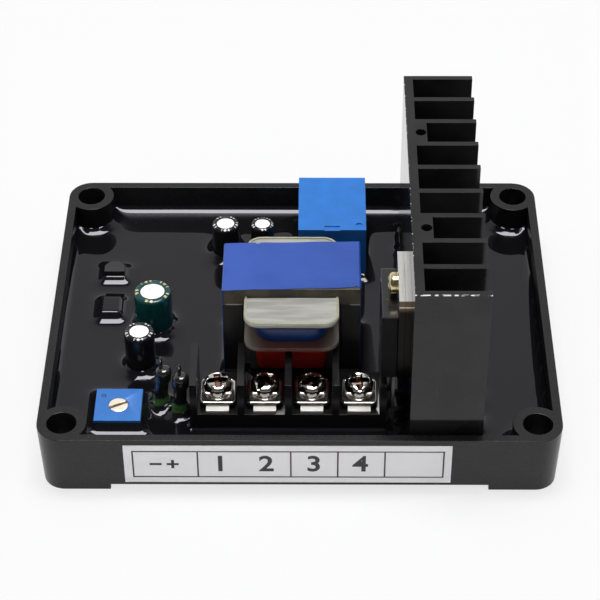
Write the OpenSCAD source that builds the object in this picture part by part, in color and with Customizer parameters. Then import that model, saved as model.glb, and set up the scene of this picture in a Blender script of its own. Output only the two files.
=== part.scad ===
// Automatic voltage regulator for a brush generator: a potted tray that carries
// a sensing transformer, a relay, capacitors, a trimmer, a terminal block and a
// finned heat sink. Millimetres. X to the right, Y to the back, Z up; the origin
// is the centre of the four mounting holes, on the plane that the feet stand on.

/* [Case] */
// Outside width of the case at its rim
case_w = 105; // [102:0.5:112]
// Outside depth of the case at its rim
case_d = 84; // [83:0.5:90]
// Height of the rim above the underside of the feet
case_h = 14.2; // [12:0.2:17]
// Thickness of the walls at the rim
wall_t = 1.8; // [1.4:0.1:2.2]
// How far each outer wall leans in from the rim down to the base
wall_draft = 0.6; // [0.1:0.1:0.7]
// Thickness of the floor
floor_t = 1.2; // [1:0.1:1.5]
// Height of the corner feet
foot_h = 1.4; // [0.8:0.1:1.8]
// Length of each corner foot along both of its walls
foot_len = 14.4; // [11:0.2:16]
// Radius of the corner bosses and of the outer corners
boss_r = 5; // [4.4:0.1:5.6]
// Radius of the mounting holes
hole_r = 3; // [2:0.1:3.4]

/* [Board and potting] */
// Thickness of the circuit board
board_t = 1.6; // [1.2:0.1:2]
// Gap between the floor and the board
board_lift = 1.3; // [1.2:0.1:1.8]
// Gap between the board and the walls
board_gap = 0.4; // [0.2:0.1:0.6]
// Radius of the posts under the board
post_r = 2; // [1.5:0.1:3]
// Depth of the potting over the board
pot_depth = 2.1; // [2:0.1:3]
// Gap between the potting and what it surrounds
pot_gap = 0.04; // [0.02:0.01:0.06]

/* [Label] */
// Width of the label on the front wall
label_w = 65.4; // [50:0.2:70]
// Height of the label
label_h = 10.6; // [8:0.1:11]
// Thickness of the label
label_t = 0.15; // [0.1:0.05:0.3]
// Distance of the label's centre to the left of the middle
label_left = 2.35; // [-4:0.05:4]
// Distance from the rim down to the label
label_drop = 1.3; // [1:0.1:1.5]

/* [Heat sink] */
// Width across the base plate and the fins
sink_w = 14.6; // [12:0.2:15.2]
// Height of the extrusion
sink_h = 43.9; // [42:0.1:52]
// Thickness of the base plate
sink_base_t = 1.9; // [1.7:0.1:2.2]
// Number of fins
fin_count = 10; // [9:1:11]
// Thickness of each fin
fin_t = 1.3; // [1:0.1:1.5]
// Depth of the screw channel blocks from the base plate's outer face
channel_d = 4.2; // [4:0.1:5]
// Radius of the screw channels
channel_r = 1.1; // [0.9:0.05:1.2]
// Gap between the sink and the front wall
sink_front_gap = 1.3; // [1:0.1:2.2]
// Gap between the sink and the back wall
sink_back_gap = 6.7; // [6:0.1:9]
// Share of the width to spare, past the boss, that lies to the right of the fins
sink_right_share = 0.382; // [0.2:0.002:0.6]

/* [Power device] */
// Width of the power device along the sink
device_w = 15.5; // [13:0.1:16]
// Height of its moulded body
device_h = 15.6; // [13:0.1:17]
// Thickness of its moulded body in front of the tab
device_t = 3.2; // [2.6:0.1:3.6]
// Thickness of its metal tab
tab_t = 1.3; // [1:0.1:1.6]
// How far the tab stands above the body
tab_rise = 4.3; // [3.8:0.1:7]
// Thickness of the plate between the tab and the sink
spacer_t = 1.2; // [1:0.1:1.6]
// Distance from the sink's top down to the tab's top
device_drop = 8.4; // [6:0.1:9.4]
// Distance from the sink's front end to the device's front edge
device_setback = 7.9; // [6:0.1:12]
// Radius of the device screw
device_screw_r = 1.25; // [1:0.05:1.3]
// Radius of the device screw's head
device_head_r = 2.2; // [1.8:0.05:2.3]
// Height of the device screw's head
device_head_h = 2; // [1.6:0.1:2.4]
// How far the device screw reaches past the base plate
device_screw_tip = 1.2; // [0.5:0.1:2]
// Spacing of the device's leads
device_lead_pitch = 5.4; // [4:0.1:5.8]

/* [Transformer] */
// Width of the laminations
core_w = 28; // [26:0.2:30]
// Height of the lamination stack, E and I together
core_h = 24; // [23:0.2:25]
// Thickness of the stack from front to back
core_d = 14.7; // [13:0.1:15.6]
// Width of the outer legs, the yoke and the I bars
core_leg = 4; // [3.6:0.1:4.2]
// Width of the centre leg
core_tongue = 8; // [7.4:0.1:8.6]
// Gap between the board and the core
core_lift = 1.1; // [0.8:0.1:1.6]
// Gap between the core and the bobbin
bobbin_gap = 0.15; // [0.1:0.05:0.3]
// Wall thickness of the bobbin's tube
bobbin_wall = 0.8; // [0.6:0.1:1]
// Thickness of the bobbin's flanges
flange_t = 0.8; // [0.6:0.1:1.4]
// Reach of the upper flanges in front of the core
flange_front = 8.6; // [8:0.1:10]
// Reach of the upper flanges behind the core
flange_back = 4.7; // [4:0.1:7]
// Corner radius of the upper flanges
flange_r = 3.2; // [1.5:0.1:3.6]
// How far the top flange stands above the window of the core
flange_rise = 1.9; // [1.6:0.1:2.4]
// Height of the lower winding, from the bottom flange to the middle flange
lower_winding_h = 9.8; // [9:0.1:10.2]
// Reach of the lower winding in front of the core
lower_front = 3.1; // [2.6:0.1:3.1]
// Reach of the upper winding in front of the core
upper_front = 6.6; // [5:0.1:7]
// Reach of both windings behind the core
winding_back = 3.4; // [2.6:0.1:3.6]
// Gap between the windings and the core's outer legs
winding_side_gap = 2.6; // [2:0.1:3]
// Thickness of the tape round the core
tape_t = 0.12; // [0.08:0.02:0.2]
// Radius of the transformer's pins
coil_pin_r = 0.4; // [0.3:0.05:0.45]
// Distance of the transformer's centre to the right of the terminal block's centre
core_right = 0.6; // [-1:0.1:2]
// Gap between the core and the terminal block
core_block_gap = 3.9; // [3.7:0.1:6]

/* [Terminal block] */
// Spacing of the ways
way_pitch = 9.55; // [9:0.05:9.7]
// Depth of the block from front to back
block_d = 12.8; // [12.4:0.1:14.6]
// Height of the barriers above the board
block_h = 14.1; // [13:0.1:16]
// Height of the block's base above the board
block_base_h = 6.1; // [5:0.1:7]
// Thickness of the barriers
barrier_t = 1.4; // [1:0.1:1.6]
// Gap between the block and the heat sink's base plate
block_sink_gap = 4.4; // [4.2:0.1:5]
// Gap between the block and the front wall's inner face
block_front_gap = 8.5; // [7.4:0.1:8.9]
// Distance from the block's front to the screws' axes
screw_setback = 5.4; // [5:0.1:6.4]
// Width of the contact plates
contact_w = 4.6; // [4.4:0.1:6]
// Thickness of the contact plates
contact_t = 0.8; // [0.6:0.1:1]
// Distance from the block's front to the contact plates
contact_inset = 0.2; // [0.1:0.1:1]
// Length of the contact plates
contact_l = 9.3; // [9:0.1:12]
// Side of the square clamp washers
washer_w = 7.3; // [6.6:0.1:7.6]
// Thickness of the clamp washers
washer_t = 0.8; // [0.7:0.1:1]
// Depth of the dish in the clamp washers
washer_dish = 0.35; // [0.2:0.05:0.5]
// Corner radius of the clamp washers
washer_r = 1; // [0.5:0.1:1.5]
// Radius of the terminal screws' shanks
shank_r = 1.65; // [1.4:0.05:1.7]
// Length of the terminal screws' shanks
shank_l = 6.6; // [5.6:0.1:7]
// Radius of the terminal screws' heads
head_r = 2.9; // [2.6:0.05:3]
// Height of the terminal screws' heads
head_h = 3.4; // [3:0.1:3.6]
// Width of the terminal screws' slots
slot_w = 0.8; // [0.6:0.05:1]
// Running gap between a screw and its contact plate
thread_gap = 0.05; // [0.03:0.01:0.08]
// Gap between a screw and its clamp washer
washer_gap = 0.35; // [0.3:0.05:0.45]
// Gap between stacked pieces that move apart
seat_gap = 0.02; // [0.01:0.01:0.05]

/* [Trimmer] */
// Side of the square trimmer
trimmer_w = 9.5; // [8.6:0.1:10]
// Height of the trimmer
trimmer_h = 4.5; // [4:0.05:6]
// Radius of the rotor
rotor_r = 2; // [1.5:0.1:2.6]
// Height of the rotor
rotor_h = 1.6; // [1.2:0.1:2]
// Running gap round the rotor
rotor_gap = 0.05; // [0.03:0.01:0.08]
// Turn of the rotor's slot from the X axis, in degrees
rotor_turn = 26; // [0:1:90]
// Gap between the trimmer and the standing resistor beside it
trimmer_right_gap = 2.3; // [1:0.1:3]
// Gap between the trimmer's front and the back of the corner boss
trimmer_boss_gap = 0.1; // [0.05:0.05:1]

/* [Relay] */
// Width of the relay
relay_w = 14.7; // [13.6:0.1:15.6]
// Depth of the relay
relay_d = 18.7; // [17:0.1:19.6]
// Height of the relay
relay_h = 15.5; // [14:0.1:17]
// Width of the latch on the relay's front edge
latch_w = 3.3; // [2.6:0.1:4]
// Distance of the relay's centre to the right of the terminal block's centre
relay_right = 9.05; // [8:0.05:10]
// Distance from the back wall's inner face to the relay
relay_back_gap = 5.2; // [4.6:0.1:6.4]

/* [Capacitors] */
// Radii of the green, black, left rear and right rear capacitors
cap_r = [4, 3.15, 3, 2.6]; // [2.4:0.05:4.2]
// Heights of the same capacitors above the board
cap_h = [12, 11.9, 10.8, 10.8]; // [9:0.1:13]
// Thickness of the sleeves
sleeve_t = 0.16; // [0.12:0.02:0.2]
// Width of the sleeve's rolled edge on top of each can, as a share of the radius
sleeve_lip = 0.36; // [0.2:0.01:0.4]
// Height of the rubber bungs
bung_h = 1.2; // [0.8:0.1:1.6]
// Places of the capacitors' axes across the tray: -1 is the left wall, 1 the right
cap_across = [-0.619, -0.659, -0.331, -0.17]; // [-0.7:0.001:0]
// Places of the capacitors' axes along the tray: -1 is the front wall, 1 the back
cap_along = [0, -0.316, 0.614, 0.612]; // [-0.4:0.001:0.7]

/* [Small parts] */
// Radius of the component leads
lead_r = 0.3; // [0.25:0.01:0.35]
// Gap between a lead and its hole
lead_gap = 0.1; // [0.05:0.05:0.2]
// How far the leads stand out under the board
lead_tail = 0.8; // [0.4:0.1:1]
// Radius of the standing resistors at their end caps
stand_r = 1.7; // [1.5:0.05:1.8]
// Radius of the standing resistors between their end caps
stand_waist_r = 1.35; // [1.1:0.05:1.4]
// Length of the standing resistors
stand_l = 10.8; // [9:0.1:11.4]
// Gap between the board and the standing resistors
stand_lift = 1.6; // [1:0.1:2]
// Gap between the block and the standing resistor beside it
stand_block_gap = 0.6; // [0.4:0.1:0.9]
// Gap between the two standing resistors
stand_pair_gap = 0.5; // [0.3:0.1:0.7]
// Distance of each standing resistor's axis behind the block's front
stand_setback = [7, 4.9]; // [4.6:0.1:9.8]
// Width of the transistors
transistor_w = 4.4; // [4:0.1:4.8]
// Depth of the transistors
transistor_d = 3.5; // [3:0.1:3.8]
// Heights of the rear and the front transistor above the board
transistor_h = [4.7, 3.2]; // [3:0.1:5.4]
// Place of the transistors across the tray: -1 is the left wall
transistor_across = -0.8087; // [-0.83:0.001:-0.78]
// Places of the transistors' front faces along the tray: 1 is the back wall
transistor_along = [0.378, 0.082]; // [0.05:0.001:0.5]
// Radius of the small diodes and resistors under the potting
chip_r = 0.9; // [0.7:0.05:0.95]
// Length of the small diodes and resistors under the potting
chip_l = 3.8; // [3:0.1:4]
// Spacing of the small diodes and resistors
chip_pitch = 4; // [3.6:0.1:4.2]

/* [Hidden] */
$fn = 48;
hull_fn = 32;
eps = 0.01;
over = 1;
pin_seat = 1;
way_count = 4;

// Colours
case_black = [0.03, 0.03, 0.032];
resin_black = [0.015, 0.015, 0.017];
board_green = [0.1, 0.28, 0.12];
anodised = [0.05, 0.05, 0.055];
tinned = [0.75, 0.75, 0.74];
nickel = [0.78, 0.76, 0.72];
zinc_yellow = [0.78, 0.68, 0.38];
tape_blue = [0.12, 0.2, 0.62];
relay_blue = [0.07, 0.42, 0.8];
trimmer_blue = [0.06, 0.3, 0.7];
cream = [0.86, 0.85, 0.76];

// Case levels and the inner faces of its walls
floor_z = foot_h + floor_t;
inner_x = case_w/2 - wall_t;
inner_y = case_d/2 - wall_t;
hole_x = case_w/2 - boss_r;
hole_y = case_d/2 - boss_r;
draft_angle = atan(wall_draft/case_h);
corners = [for (sx = [-1, 1], sy = [-1, 1]) [sx, sy]];

// Board and potting levels
board_z = floor_z + board_lift;
top_z = board_z + board_t;
pot_z = top_z + pot_depth;
post_x = hole_x - boss_r - post_r;
post_y = inner_y - board_gap - post_r;
tail_z = board_z - lead_tail;
tail_h = board_t + lead_tail;

// The row across the tray: trimmer, standing resistors, terminal block and sink
block_w = way_count*way_pitch + barrier_t;
boss_reach = 2*boss_r - wall_t;
boss_gap = 0.5;
row_w = trimmer_w + trimmer_right_gap + 4*stand_r + stand_pair_gap + stand_block_gap
        + block_w + block_sink_gap + sink_w;
spare_w = 2*inner_x - row_w - boss_reach - boss_gap;
sink_right_gap = boss_reach + boss_gap + sink_right_share*spare_w;

// Heat sink
sink_x = inner_x - sink_right_gap - sink_w;
sink_y = sink_front_gap - inner_y;
sink_l = 2*inner_y - sink_front_gap - sink_back_gap;
fin_pitch = (sink_l - fin_t)/(fin_count - 1);
channel_fins = [2, 6];
channel_share = 0.45;
channel_x = sink_x + sink_base_t + (channel_d - sink_base_t)*channel_share;
sink_screw_head_r = 2.6;
sink_screw_head_h = 1;
sink_screw_l = 9;

// Power device
spacer_x = sink_x - spacer_t;
tab_x = spacer_x - tab_t;
device_x = tab_x - device_t;
device_y = sink_y + device_setback;
tab_z = top_z + sink_h - device_drop;
body_z = tab_z - tab_rise - device_h;
device_mid_y = device_y + device_w/2;
device_screw_up = 0.4;
device_screw_z = tab_z - tab_rise/2 + device_screw_up;
device_lead_w = 1.2;
device_lead_t = 0.6;
device_lead_set = 0.3;
device_lead_x = tab_x - device_lead_set - device_lead_t/2;
tap_run_out = 0.4;

// Terminal block
block_x = sink_x - block_sink_gap - block_w/2;
block_y = block_front_gap - inner_y;
base_z = top_z + block_base_h;
contact_z = base_z + contact_t;
washer_z = contact_z + seat_gap;
head_z = washer_z + washer_t - washer_dish + seat_gap;
screw_y = block_y + screw_setback;
screw_turns = [8, 62, 24, 93];
function way_x(i) = block_x + (i - (way_count - 1)/2)*way_pitch;

// Transformer
core_x = block_x + core_right;
core_front = block_y + block_d + core_block_gap;
core_back = core_front + core_d;
core_mid_y = (core_front + core_back)/2;
core_z = top_z + core_lift;
core_top = core_z + core_h;
window_z = core_z + core_leg;
joint_z = core_top - core_leg;
window_w = (core_w - core_tongue - 2*core_leg)/2;
tube_w = core_tongue + 2*bobbin_gap;
tube_d = core_d + 2*bobbin_gap;
flange_side_gap = 0.25;
flange_w = core_tongue + 2*window_w - 2*bobbin_gap - 2*flange_side_gap;
mid_flange_cut = 0.1;
low_flange_z = window_z + bobbin_gap;
lower_z = low_flange_z + flange_t;
mid_flange_z = lower_z + lower_winding_h;
upper_z = mid_flange_z + flange_t;
top_flange_z = joint_z + flange_rise - flange_t;
winding_w = core_tongue + 2*window_w - 2*winding_side_gap;
winding_gap = 0.1;
upper_winding_r = 3.6;
lower_winding_r = 1.6;
rail_step = 1;
rail_w = flange_w - 2*rail_step;
rail_d = 2.6;
rail_front = core_front - bobbin_gap - rail_d;
rail_back = core_back + bobbin_gap;
coil_pin_inset = 1.5;
coil_pin_dx = rail_w/2 - coil_pin_inset;

// Standing resistors
stand_b_x = block_x - block_w/2 - stand_block_gap - stand_r;
stand_a_x = stand_b_x - 2*stand_r - stand_pair_gap;
stand_xs = [stand_a_x, stand_b_x];
stand_z = top_z + stand_lift;
function stand_y(i) = block_y + stand_setback[i];
stand_lead_gap = 0.25;
stand_bend = stand_r + lead_r + stand_lead_gap;

// Trimmer, relay and capacitors
trimmer_x = stand_a_x - stand_r - trimmer_right_gap - trimmer_w/2;
trimmer_y = boss_reach + trimmer_boss_gap + trimmer_w/2 - inner_y;
trimmer_pin_pitch = 2.54;
rotor_z = top_z + trimmer_h - rotor_h;
relay_x = block_x + relay_right;
relay_y = inner_y - relay_back_gap - relay_d/2;
relay_z = top_z + relay_h;
function cap_x(i) = cap_across[i]*inner_x;
function cap_y(i) = cap_along[i]*inner_y;
cap_ids = [0, 1, 2, 3];
cap_lead_share = 0.45;

// Small parts
transistor_x = transistor_across*inner_x;
function transistor_y(i) = transistor_along[i]*inner_y;
transistor_pitch = 1.27;
transistor_lead_share = 0.4;
chip_rows = 4;
diode_x = (cap_x(0) + cap_r[0] + core_x - core_w/2)/2;
diode_y = core_mid_y;
chip_resistor_x = inner_x - sink_right_gap/2;

// Places of the round leads, as [x, y] lists
relay_pin_inset = [1.6, 2.5];
relay_pin_step = 2;
relay_pin_side = relay_w/2 - relay_pin_inset[0];
relay_pin_end = relay_d/2 - relay_pin_inset[1];
relay_pin_row = relay_pin_end - relay_pin_step;
relay_pin_pts = [[relay_x, relay_y + relay_pin_end],
                 for (sx = [-1, 1], y = [-relay_pin_end, relay_pin_row])
                     [relay_x + sx*relay_pin_side, relay_y + y]];
coil_pin_pts = [for (sx = [-1, 1], y = [rail_front, rail_back])
                    [core_x + sx*coil_pin_dx, y + rail_d/2]];
cap_lead_pts = [for (i = cap_ids, s = [-1, 1]) [cap_x(i) + s*cap_r[i]*cap_lead_share, cap_y(i)]];
trimmer_pin_pts = [for (s = [-1, 0, 1])
                       [trimmer_x + s*trimmer_pin_pitch,
                        trimmer_y + (s == 0 ? trimmer_pin_pitch : -trimmer_pin_pitch)]];
transistor_lead_pts = [for (i = [0, 1], s = [-1, 0, 1])
                           [transistor_x + s*transistor_pitch,
                            transistor_y(i) + transistor_d*transistor_lead_share]];
stand_lead_pts = [for (i = [0, 1], b = [0, 1]) [stand_xs[i], stand_y(i) + b*stand_bend]];
device_lead_pts = [for (s = [-1, 0, 1]) [device_lead_x, device_mid_y + s*device_lead_pitch]];
contact_pin_r = 0.6;
contact_pin_inset = 0.7;
contact_pin_y = block_y + contact_inset + contact_l - contact_pin_inset;
contact_pin_pts = [for (i = [0:way_count - 1]) [way_x(i), contact_pin_y]];
sink_screw_pts = [for (f = channel_fins) [channel_x, sink_channel_y(f)]];
function sink_channel_y(f) = sink_y + sink_l - fin_t - (f + 0.5)*fin_pitch + fin_t/2;

// A rectangle with round corners, centred
module round_rect(w, d, r) {
    square([w - 2*r, d], center = true);
    square([w, d - 2*r], center = true);
    for (c = corners)
        translate([c[0]*(w/2 - r), c[1]*(d/2 - r)])
            circle(r);
}

// A box given by its lowest corner and its size
module box(x, y, z, size) {
    translate([x, y, z])
        cube(size);
}

// Round posts of one radius and height on a list of places
module posts(pts, r, z, h) {
    for (p = pts)
        translate([p[0], p[1], z])
            cylinder(r = r, h = h);
}

// The tray's plan: the inside of the walls without the corner bosses
module tray_plan(gap) {
    difference() {
        square([2*(inner_x - gap), 2*(inner_y - gap)], center = true);
        for (c = corners)
            translate([c[0]*hole_x, c[1]*hole_y])
                circle(boss_r + gap);
    }
}

// Outer form of the case: walls that lean in towards the base
module case_block() {
    hull()
        for (c = corners)
            translate([c[0]*hole_x, c[1]*hole_y, 0])
                cylinder(r1 = boss_r - wall_draft, r2 = boss_r, h = case_h, $fn = hull_fn);
}

module case() {
    foot_gap_x = case_w - 2*foot_len;
    foot_gap_y = case_d - 2*foot_len;
    color(case_black) {
        difference() {
            case_block();
            translate([0, 0, floor_z])
                linear_extrude(case_h)
                    tray_plan(0);
            for (c = corners)
                translate([c[0]*hole_x, c[1]*hole_y, -1])
                    cylinder(r = hole_r, h = case_h + 2*over);
            box(-foot_gap_x/2, -case_d, -over, [foot_gap_x, 2*case_d, foot_h + over]);
            box(-case_w, -foot_gap_y/2, -over, [2*case_w, foot_gap_y, foot_h + over]);
        }
        for (c = corners)
            translate([c[0]*post_x, c[1]*post_y, floor_z - floor_t/2])
                cylinder(r = post_r, h = board_lift + floor_t/2);
    }
}

// The label lies on the sloping front wall
module label() {
    color([0.93, 0.93, 0.92])
        translate([-label_left, -case_d/2, case_h])
            rotate([draft_angle, 0, 0])
                translate([-label_w/2, -label_t, -label_drop - label_h])
                    cube([label_w, label_t, label_h]);
}

module circuit_board() {
    color(board_green)
        difference() {
            translate([0, 0, board_z])
                linear_extrude(board_t)
                    tray_plan(board_gap);
            lead_holes(board_z - over, board_t + 2*over);
            posts(sink_screw_pts, channel_r + lead_gap, board_z - over, board_t + 2*over);
        }
}

// Clearance holes for every lead that passes through the board
module lead_holes(z, h) {
    thin_pts = concat(relay_pin_pts, cap_lead_pts, trimmer_pin_pts,
                      transistor_lead_pts, stand_lead_pts);
    posts(thin_pts, lead_r + lead_gap, z, h);
    posts(coil_pin_pts, coil_pin_r + lead_gap, z, h);
    posts(device_lead_pts, device_lead_w/2 + lead_gap, z, h);
    posts(contact_pin_pts, contact_pin_r + lead_gap, z, h);
}

// Resin between the board and its level, round all that stands in it
module potting() {
    g = pot_gap;
    h = pot_depth + over;
    color(resin_black)
        difference() {
            translate([0, 0, top_z])
                linear_extrude(pot_depth)
                    tray_plan(pot_gap);
            translate([0, 0, top_z - eps])
                linear_extrude(h)
                    sink_plan(g);
            box(block_x - block_w/2 - g, block_y - g, top_z - eps, [block_w + 2*g, block_d + 2*g, h]);
            box(trimmer_x - trimmer_w/2 - g, trimmer_y - trimmer_w/2 - g, top_z - eps,
                [trimmer_w + 2*g, trimmer_w + 2*g, h]);
            box(relay_x - relay_w/2 - g, relay_y - relay_d/2 - g, top_z - eps,
                [relay_w + 2*g, relay_d + 2*g, h]);
            box(core_x - core_w/2 - tape_t - g, core_front - g, core_z - tape_t - g,
                [core_w + 2*tape_t + 2*g, core_d + 2*g, h]);
            for (y = [rail_front, rail_back])
                box(core_x - rail_w/2 - g, y - g, top_z - eps, [rail_w + 2*g, rail_d + 2*g, h]);
            for (i = cap_ids)
                posts([[cap_x(i), cap_y(i)]], cap_r[i] + g, top_z - eps, h);
            for (i = [0, 1])
                translate([transistor_x, transistor_y(i), top_z - eps])
                    linear_extrude(h)
                        transistor_plan(g);
            posts([for (i = [0, 1]) [stand_xs[i], stand_y(i)]], stand_r + g, stand_z - g, h);
            posts(stand_lead_pts, lead_r + g, top_z - eps, h);
            for (p = device_lead_pts)
                box(p[0] - device_lead_t/2 - g, p[1] - device_lead_w/2 - g, top_z - eps,
                    [device_lead_t + 2*g, device_lead_w + 2*g, h]);
            chips(diode_x, diode_y, chip_r + g, chip_l + 2*g);
            chips(chip_resistor_x, 0, chip_r + g, chip_l + 2*g);
        }
}

// Section of the extrusion: a base plate, fins and two filled channels
module sink_plan(gap) {
    translate([sink_x - gap, sink_y - gap])
        square([sink_base_t + 2*gap, sink_l + 2*gap]);
    for (f = [0:fin_count - 1])
        translate([sink_x - gap, sink_y + f*fin_pitch - gap])
            square([sink_w + 2*gap, fin_t + 2*gap]);
    for (f = channel_fins)
        translate([sink_x - gap, sink_channel_y(f) - fin_pitch/2 - gap])
            square([channel_d + 2*gap, fin_pitch + 2*gap]);
}

module heat_sink() {
    color(anodised)
        difference() {
            translate([0, 0, top_z])
                linear_extrude(sink_h)
                    sink_plan(0);
            posts(sink_screw_pts, channel_r, top_z - over, sink_h + 2*over);
            translate([sink_x - over, device_mid_y, device_screw_z])
                rotate([0, 90, 0])
                    cylinder(r = device_screw_r + thread_gap,
                             h = over + sink_base_t + device_screw_tip + tap_run_out);
        }
}

// Two screws from under the board into the channels of the sink
module heat_sink_screws() {
    color(tinned)
        for (p = sink_screw_pts)
            translate([p[0], p[1], board_z - sink_screw_head_h]) {
                cylinder(r = sink_screw_head_r, h = sink_screw_head_h);
                cylinder(r = channel_r - thread_gap, h = sink_screw_l);
            }
}

module power_device_body() {
    color([0.04, 0.04, 0.045])
        box(device_x, device_y, body_z, [device_t, device_w, device_h]);
}

module power_device_tab() {
    color(tinned)
        difference() {
            box(tab_x, device_y, body_z, [tab_t, device_w, device_h + tab_rise]);
            translate([tab_x - over, device_mid_y, device_screw_z])
                rotate([0, 90, 0])
                    cylinder(r = device_screw_r + lead_gap, h = tab_t + 2*over);
        }
}

module power_device_leads() {
    color(tinned)
        for (p = device_lead_pts)
            box(p[0] - device_lead_t/2, p[1] - device_lead_w/2, tail_z,
                [device_lead_t, device_lead_w, body_z - tail_z]);
}

module spacer_plate() {
    color(tinned)
        difference() {
            box(spacer_x, device_y, body_z, [spacer_t, device_w, device_h + tab_rise]);
            translate([spacer_x - over, device_mid_y, device_screw_z])
                rotate([0, 90, 0])
                    cylinder(r = device_screw_r + lead_gap, h = spacer_t + 2*over);
        }
}

// Pan head screw with a domed head and a cross recess
module device_screw() {
    reach = tab_t + spacer_t + sink_base_t + device_screw_tip;
    recess_l = device_head_r*1.1;
    recess_w = 0.7;
    recess_d = 0.9;
    color(zinc_yellow)
        translate([tab_x, device_mid_y, device_screw_z])
            rotate([0, 90, 0]) {
                cylinder(r = device_screw_r, h = reach);
                difference() {
                    rotate([180, 0, 0])
                        domed_head(device_head_r, device_head_h);
                    for (a = [20, 110])
                        rotate([0, 0, a])
                            translate([-recess_l/2, -recess_w/2, -device_head_h - eps])
                                cube([recess_l, recess_w, recess_d]);
                }
            }
}

// A pan head: a short cylinder under a shallow dome
module domed_head(r, h) {
    side = h*0.5;
    rise = h - side;
    dome_r = (r*r + rise*rise)/(2*rise);
    cylinder(r = r, h = side);
    intersection() {
        translate([0, 0, h - dome_r])
            sphere(dome_r);
        translate([0, 0, side - eps])
            cylinder(r = r, h = rise + 2*eps);
    }
}

module core_e_stack() {
    color([0.16, 0.15, 0.14])
        translate([core_x, core_front, core_z]) {
            translate([-core_w/2, 0, 0])
                cube([core_w, core_d, core_leg]);
            for (x = [-core_w/2, core_w/2 - core_leg])
                translate([x, 0, 0])
                    cube([core_leg, core_d, core_h - core_leg]);
            translate([-core_tongue/2, 0, 0])
                cube([core_tongue, core_d, core_h - core_leg]);
        }
}

module core_i_stack() {
    color([0.18, 0.17, 0.15])
        box(core_x - core_w/2, core_front, joint_z, [core_w, core_d, core_leg]);
}

// One turn of tape round the laminations
module core_tape() {
    color(tape_blue)
        difference() {
            box(core_x - core_w/2 - tape_t, core_front, core_z - tape_t,
                [core_w + 2*tape_t, core_d, core_h + 2*tape_t]);
            box(core_x - core_w/2, core_front - over, core_z, [core_w, core_d + 2*over, core_h]);
        }
}

// A bobbin flange that reaches out in front of and behind the core
module flange(z, t, front, back) {
    d = core_d + front + back;
    translate([core_x, core_front - front + d/2, z])
        linear_extrude(t)
            round_rect(flange_w, d, flange_r);
}

module bobbin() {
    top_front = core_front - bobbin_gap - flange_t;
    clear_z = joint_z - bobbin_gap;
    color(cream)
        difference() {
            union() {
                flange(mid_flange_z, flange_t, flange_front - mid_flange_cut, flange_back);
                flange(clear_z - flange_t, flange_rise + flange_t + bobbin_gap, flange_front, flange_back);
                box(core_x - rail_w/2, rail_front, low_flange_z,
                    [rail_w, rail_back + rail_d - rail_front, flange_t]);
                for (y = [rail_front, rail_back])
                    box(core_x - rail_w/2, y, top_z, [rail_w, rail_d, low_flange_z + flange_t - top_z]);
                box(core_x - tube_w/2 - bobbin_wall, core_mid_y - tube_d/2 - bobbin_wall, low_flange_z,
                    [tube_w + 2*bobbin_wall, tube_d + 2*bobbin_wall, clear_z - low_flange_z]);
            }
            box(core_x - tube_w/2, core_mid_y - tube_d/2, low_flange_z - over, [tube_w, tube_d, core_h]);
            box(core_x - core_w/2, core_front - bobbin_gap, clear_z, [core_w, tube_d, core_h]);
            for (y = [core_front - flange_front - over, core_back + bobbin_gap + flange_t])
                box(core_x - core_w/2, y, clear_z - flange_t - over,
                    [core_w, (y < core_front ? top_front - y : flange_back),
                     top_flange_z - clear_z + flange_t + over]);
            posts(coil_pin_pts, coil_pin_r + lead_gap, top_z - over, rail_d + over);
        }
}

// A coil round the bobbin's tube, with rounded corners
module winding(z, h, front, r) {
    d = core_d + front + winding_back;
    hole_w = tube_w + 2*bobbin_wall + 2*winding_gap;
    hole_d = tube_d + 2*bobbin_wall + 2*winding_gap;
    difference() {
        translate([core_x, core_front - front + d/2, z])
            linear_extrude(h)
                round_rect(winding_w, d, r);
        box(core_x - hole_w/2, core_mid_y - hole_d/2, z - over, [hole_w, hole_d, h + 2*over]);
    }
}

module upper_winding() {
    top = joint_z - bobbin_gap - flange_t;
    color([0.04, 0.06, 0.22])
        winding(upper_z + winding_gap, top - upper_z - 2*winding_gap, upper_front, upper_winding_r);
}

module lower_winding() {
    color([0.4, 0.03, 0.02])
        winding(lower_z + winding_gap, lower_winding_h - 2*winding_gap, lower_front, lower_winding_r);
}

module transformer_pins() {
    color(tinned)
        posts(coil_pin_pts, coil_pin_r, tail_z, tail_h + rail_d - lead_gap);
}

// Sealed relay with a latch on its front edge and a vent dimple on top
module relay_case() {
    latch_h = 1.2;
    latch_t = 0.25;
    slot_d = 0.4;
    slot_deep = 0.5;
    slot_back = 1;
    vent_r = 0.7;
    vent_deep = 0.3;
    vent_right = relay_w/2 - 1.5;
    vent_back = 1.8;
    relay_front = relay_y - relay_d/2;
    color(relay_blue) {
        difference() {
            box(relay_x - relay_w/2, relay_front, top_z, [relay_w, relay_d, relay_h]);
            box(relay_x - latch_w/2, relay_front + slot_back, relay_z - slot_deep, [latch_w, slot_d, 1]);
            translate([relay_x + vent_right, relay_front + vent_back, relay_z - vent_deep])
                cylinder(r = vent_r, h = 1);
            posts(relay_pin_pts, lead_r + lead_gap, top_z - over, over + pin_seat);
        }
        box(relay_x - latch_w/2, relay_front - latch_t, relay_z - latch_h,
            [latch_w, latch_t + eps, latch_h]);
    }
}

module relay_pins() {
    color(tinned)
        posts(relay_pin_pts, lead_r, tail_z, tail_h + pin_seat - lead_gap);
}

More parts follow.
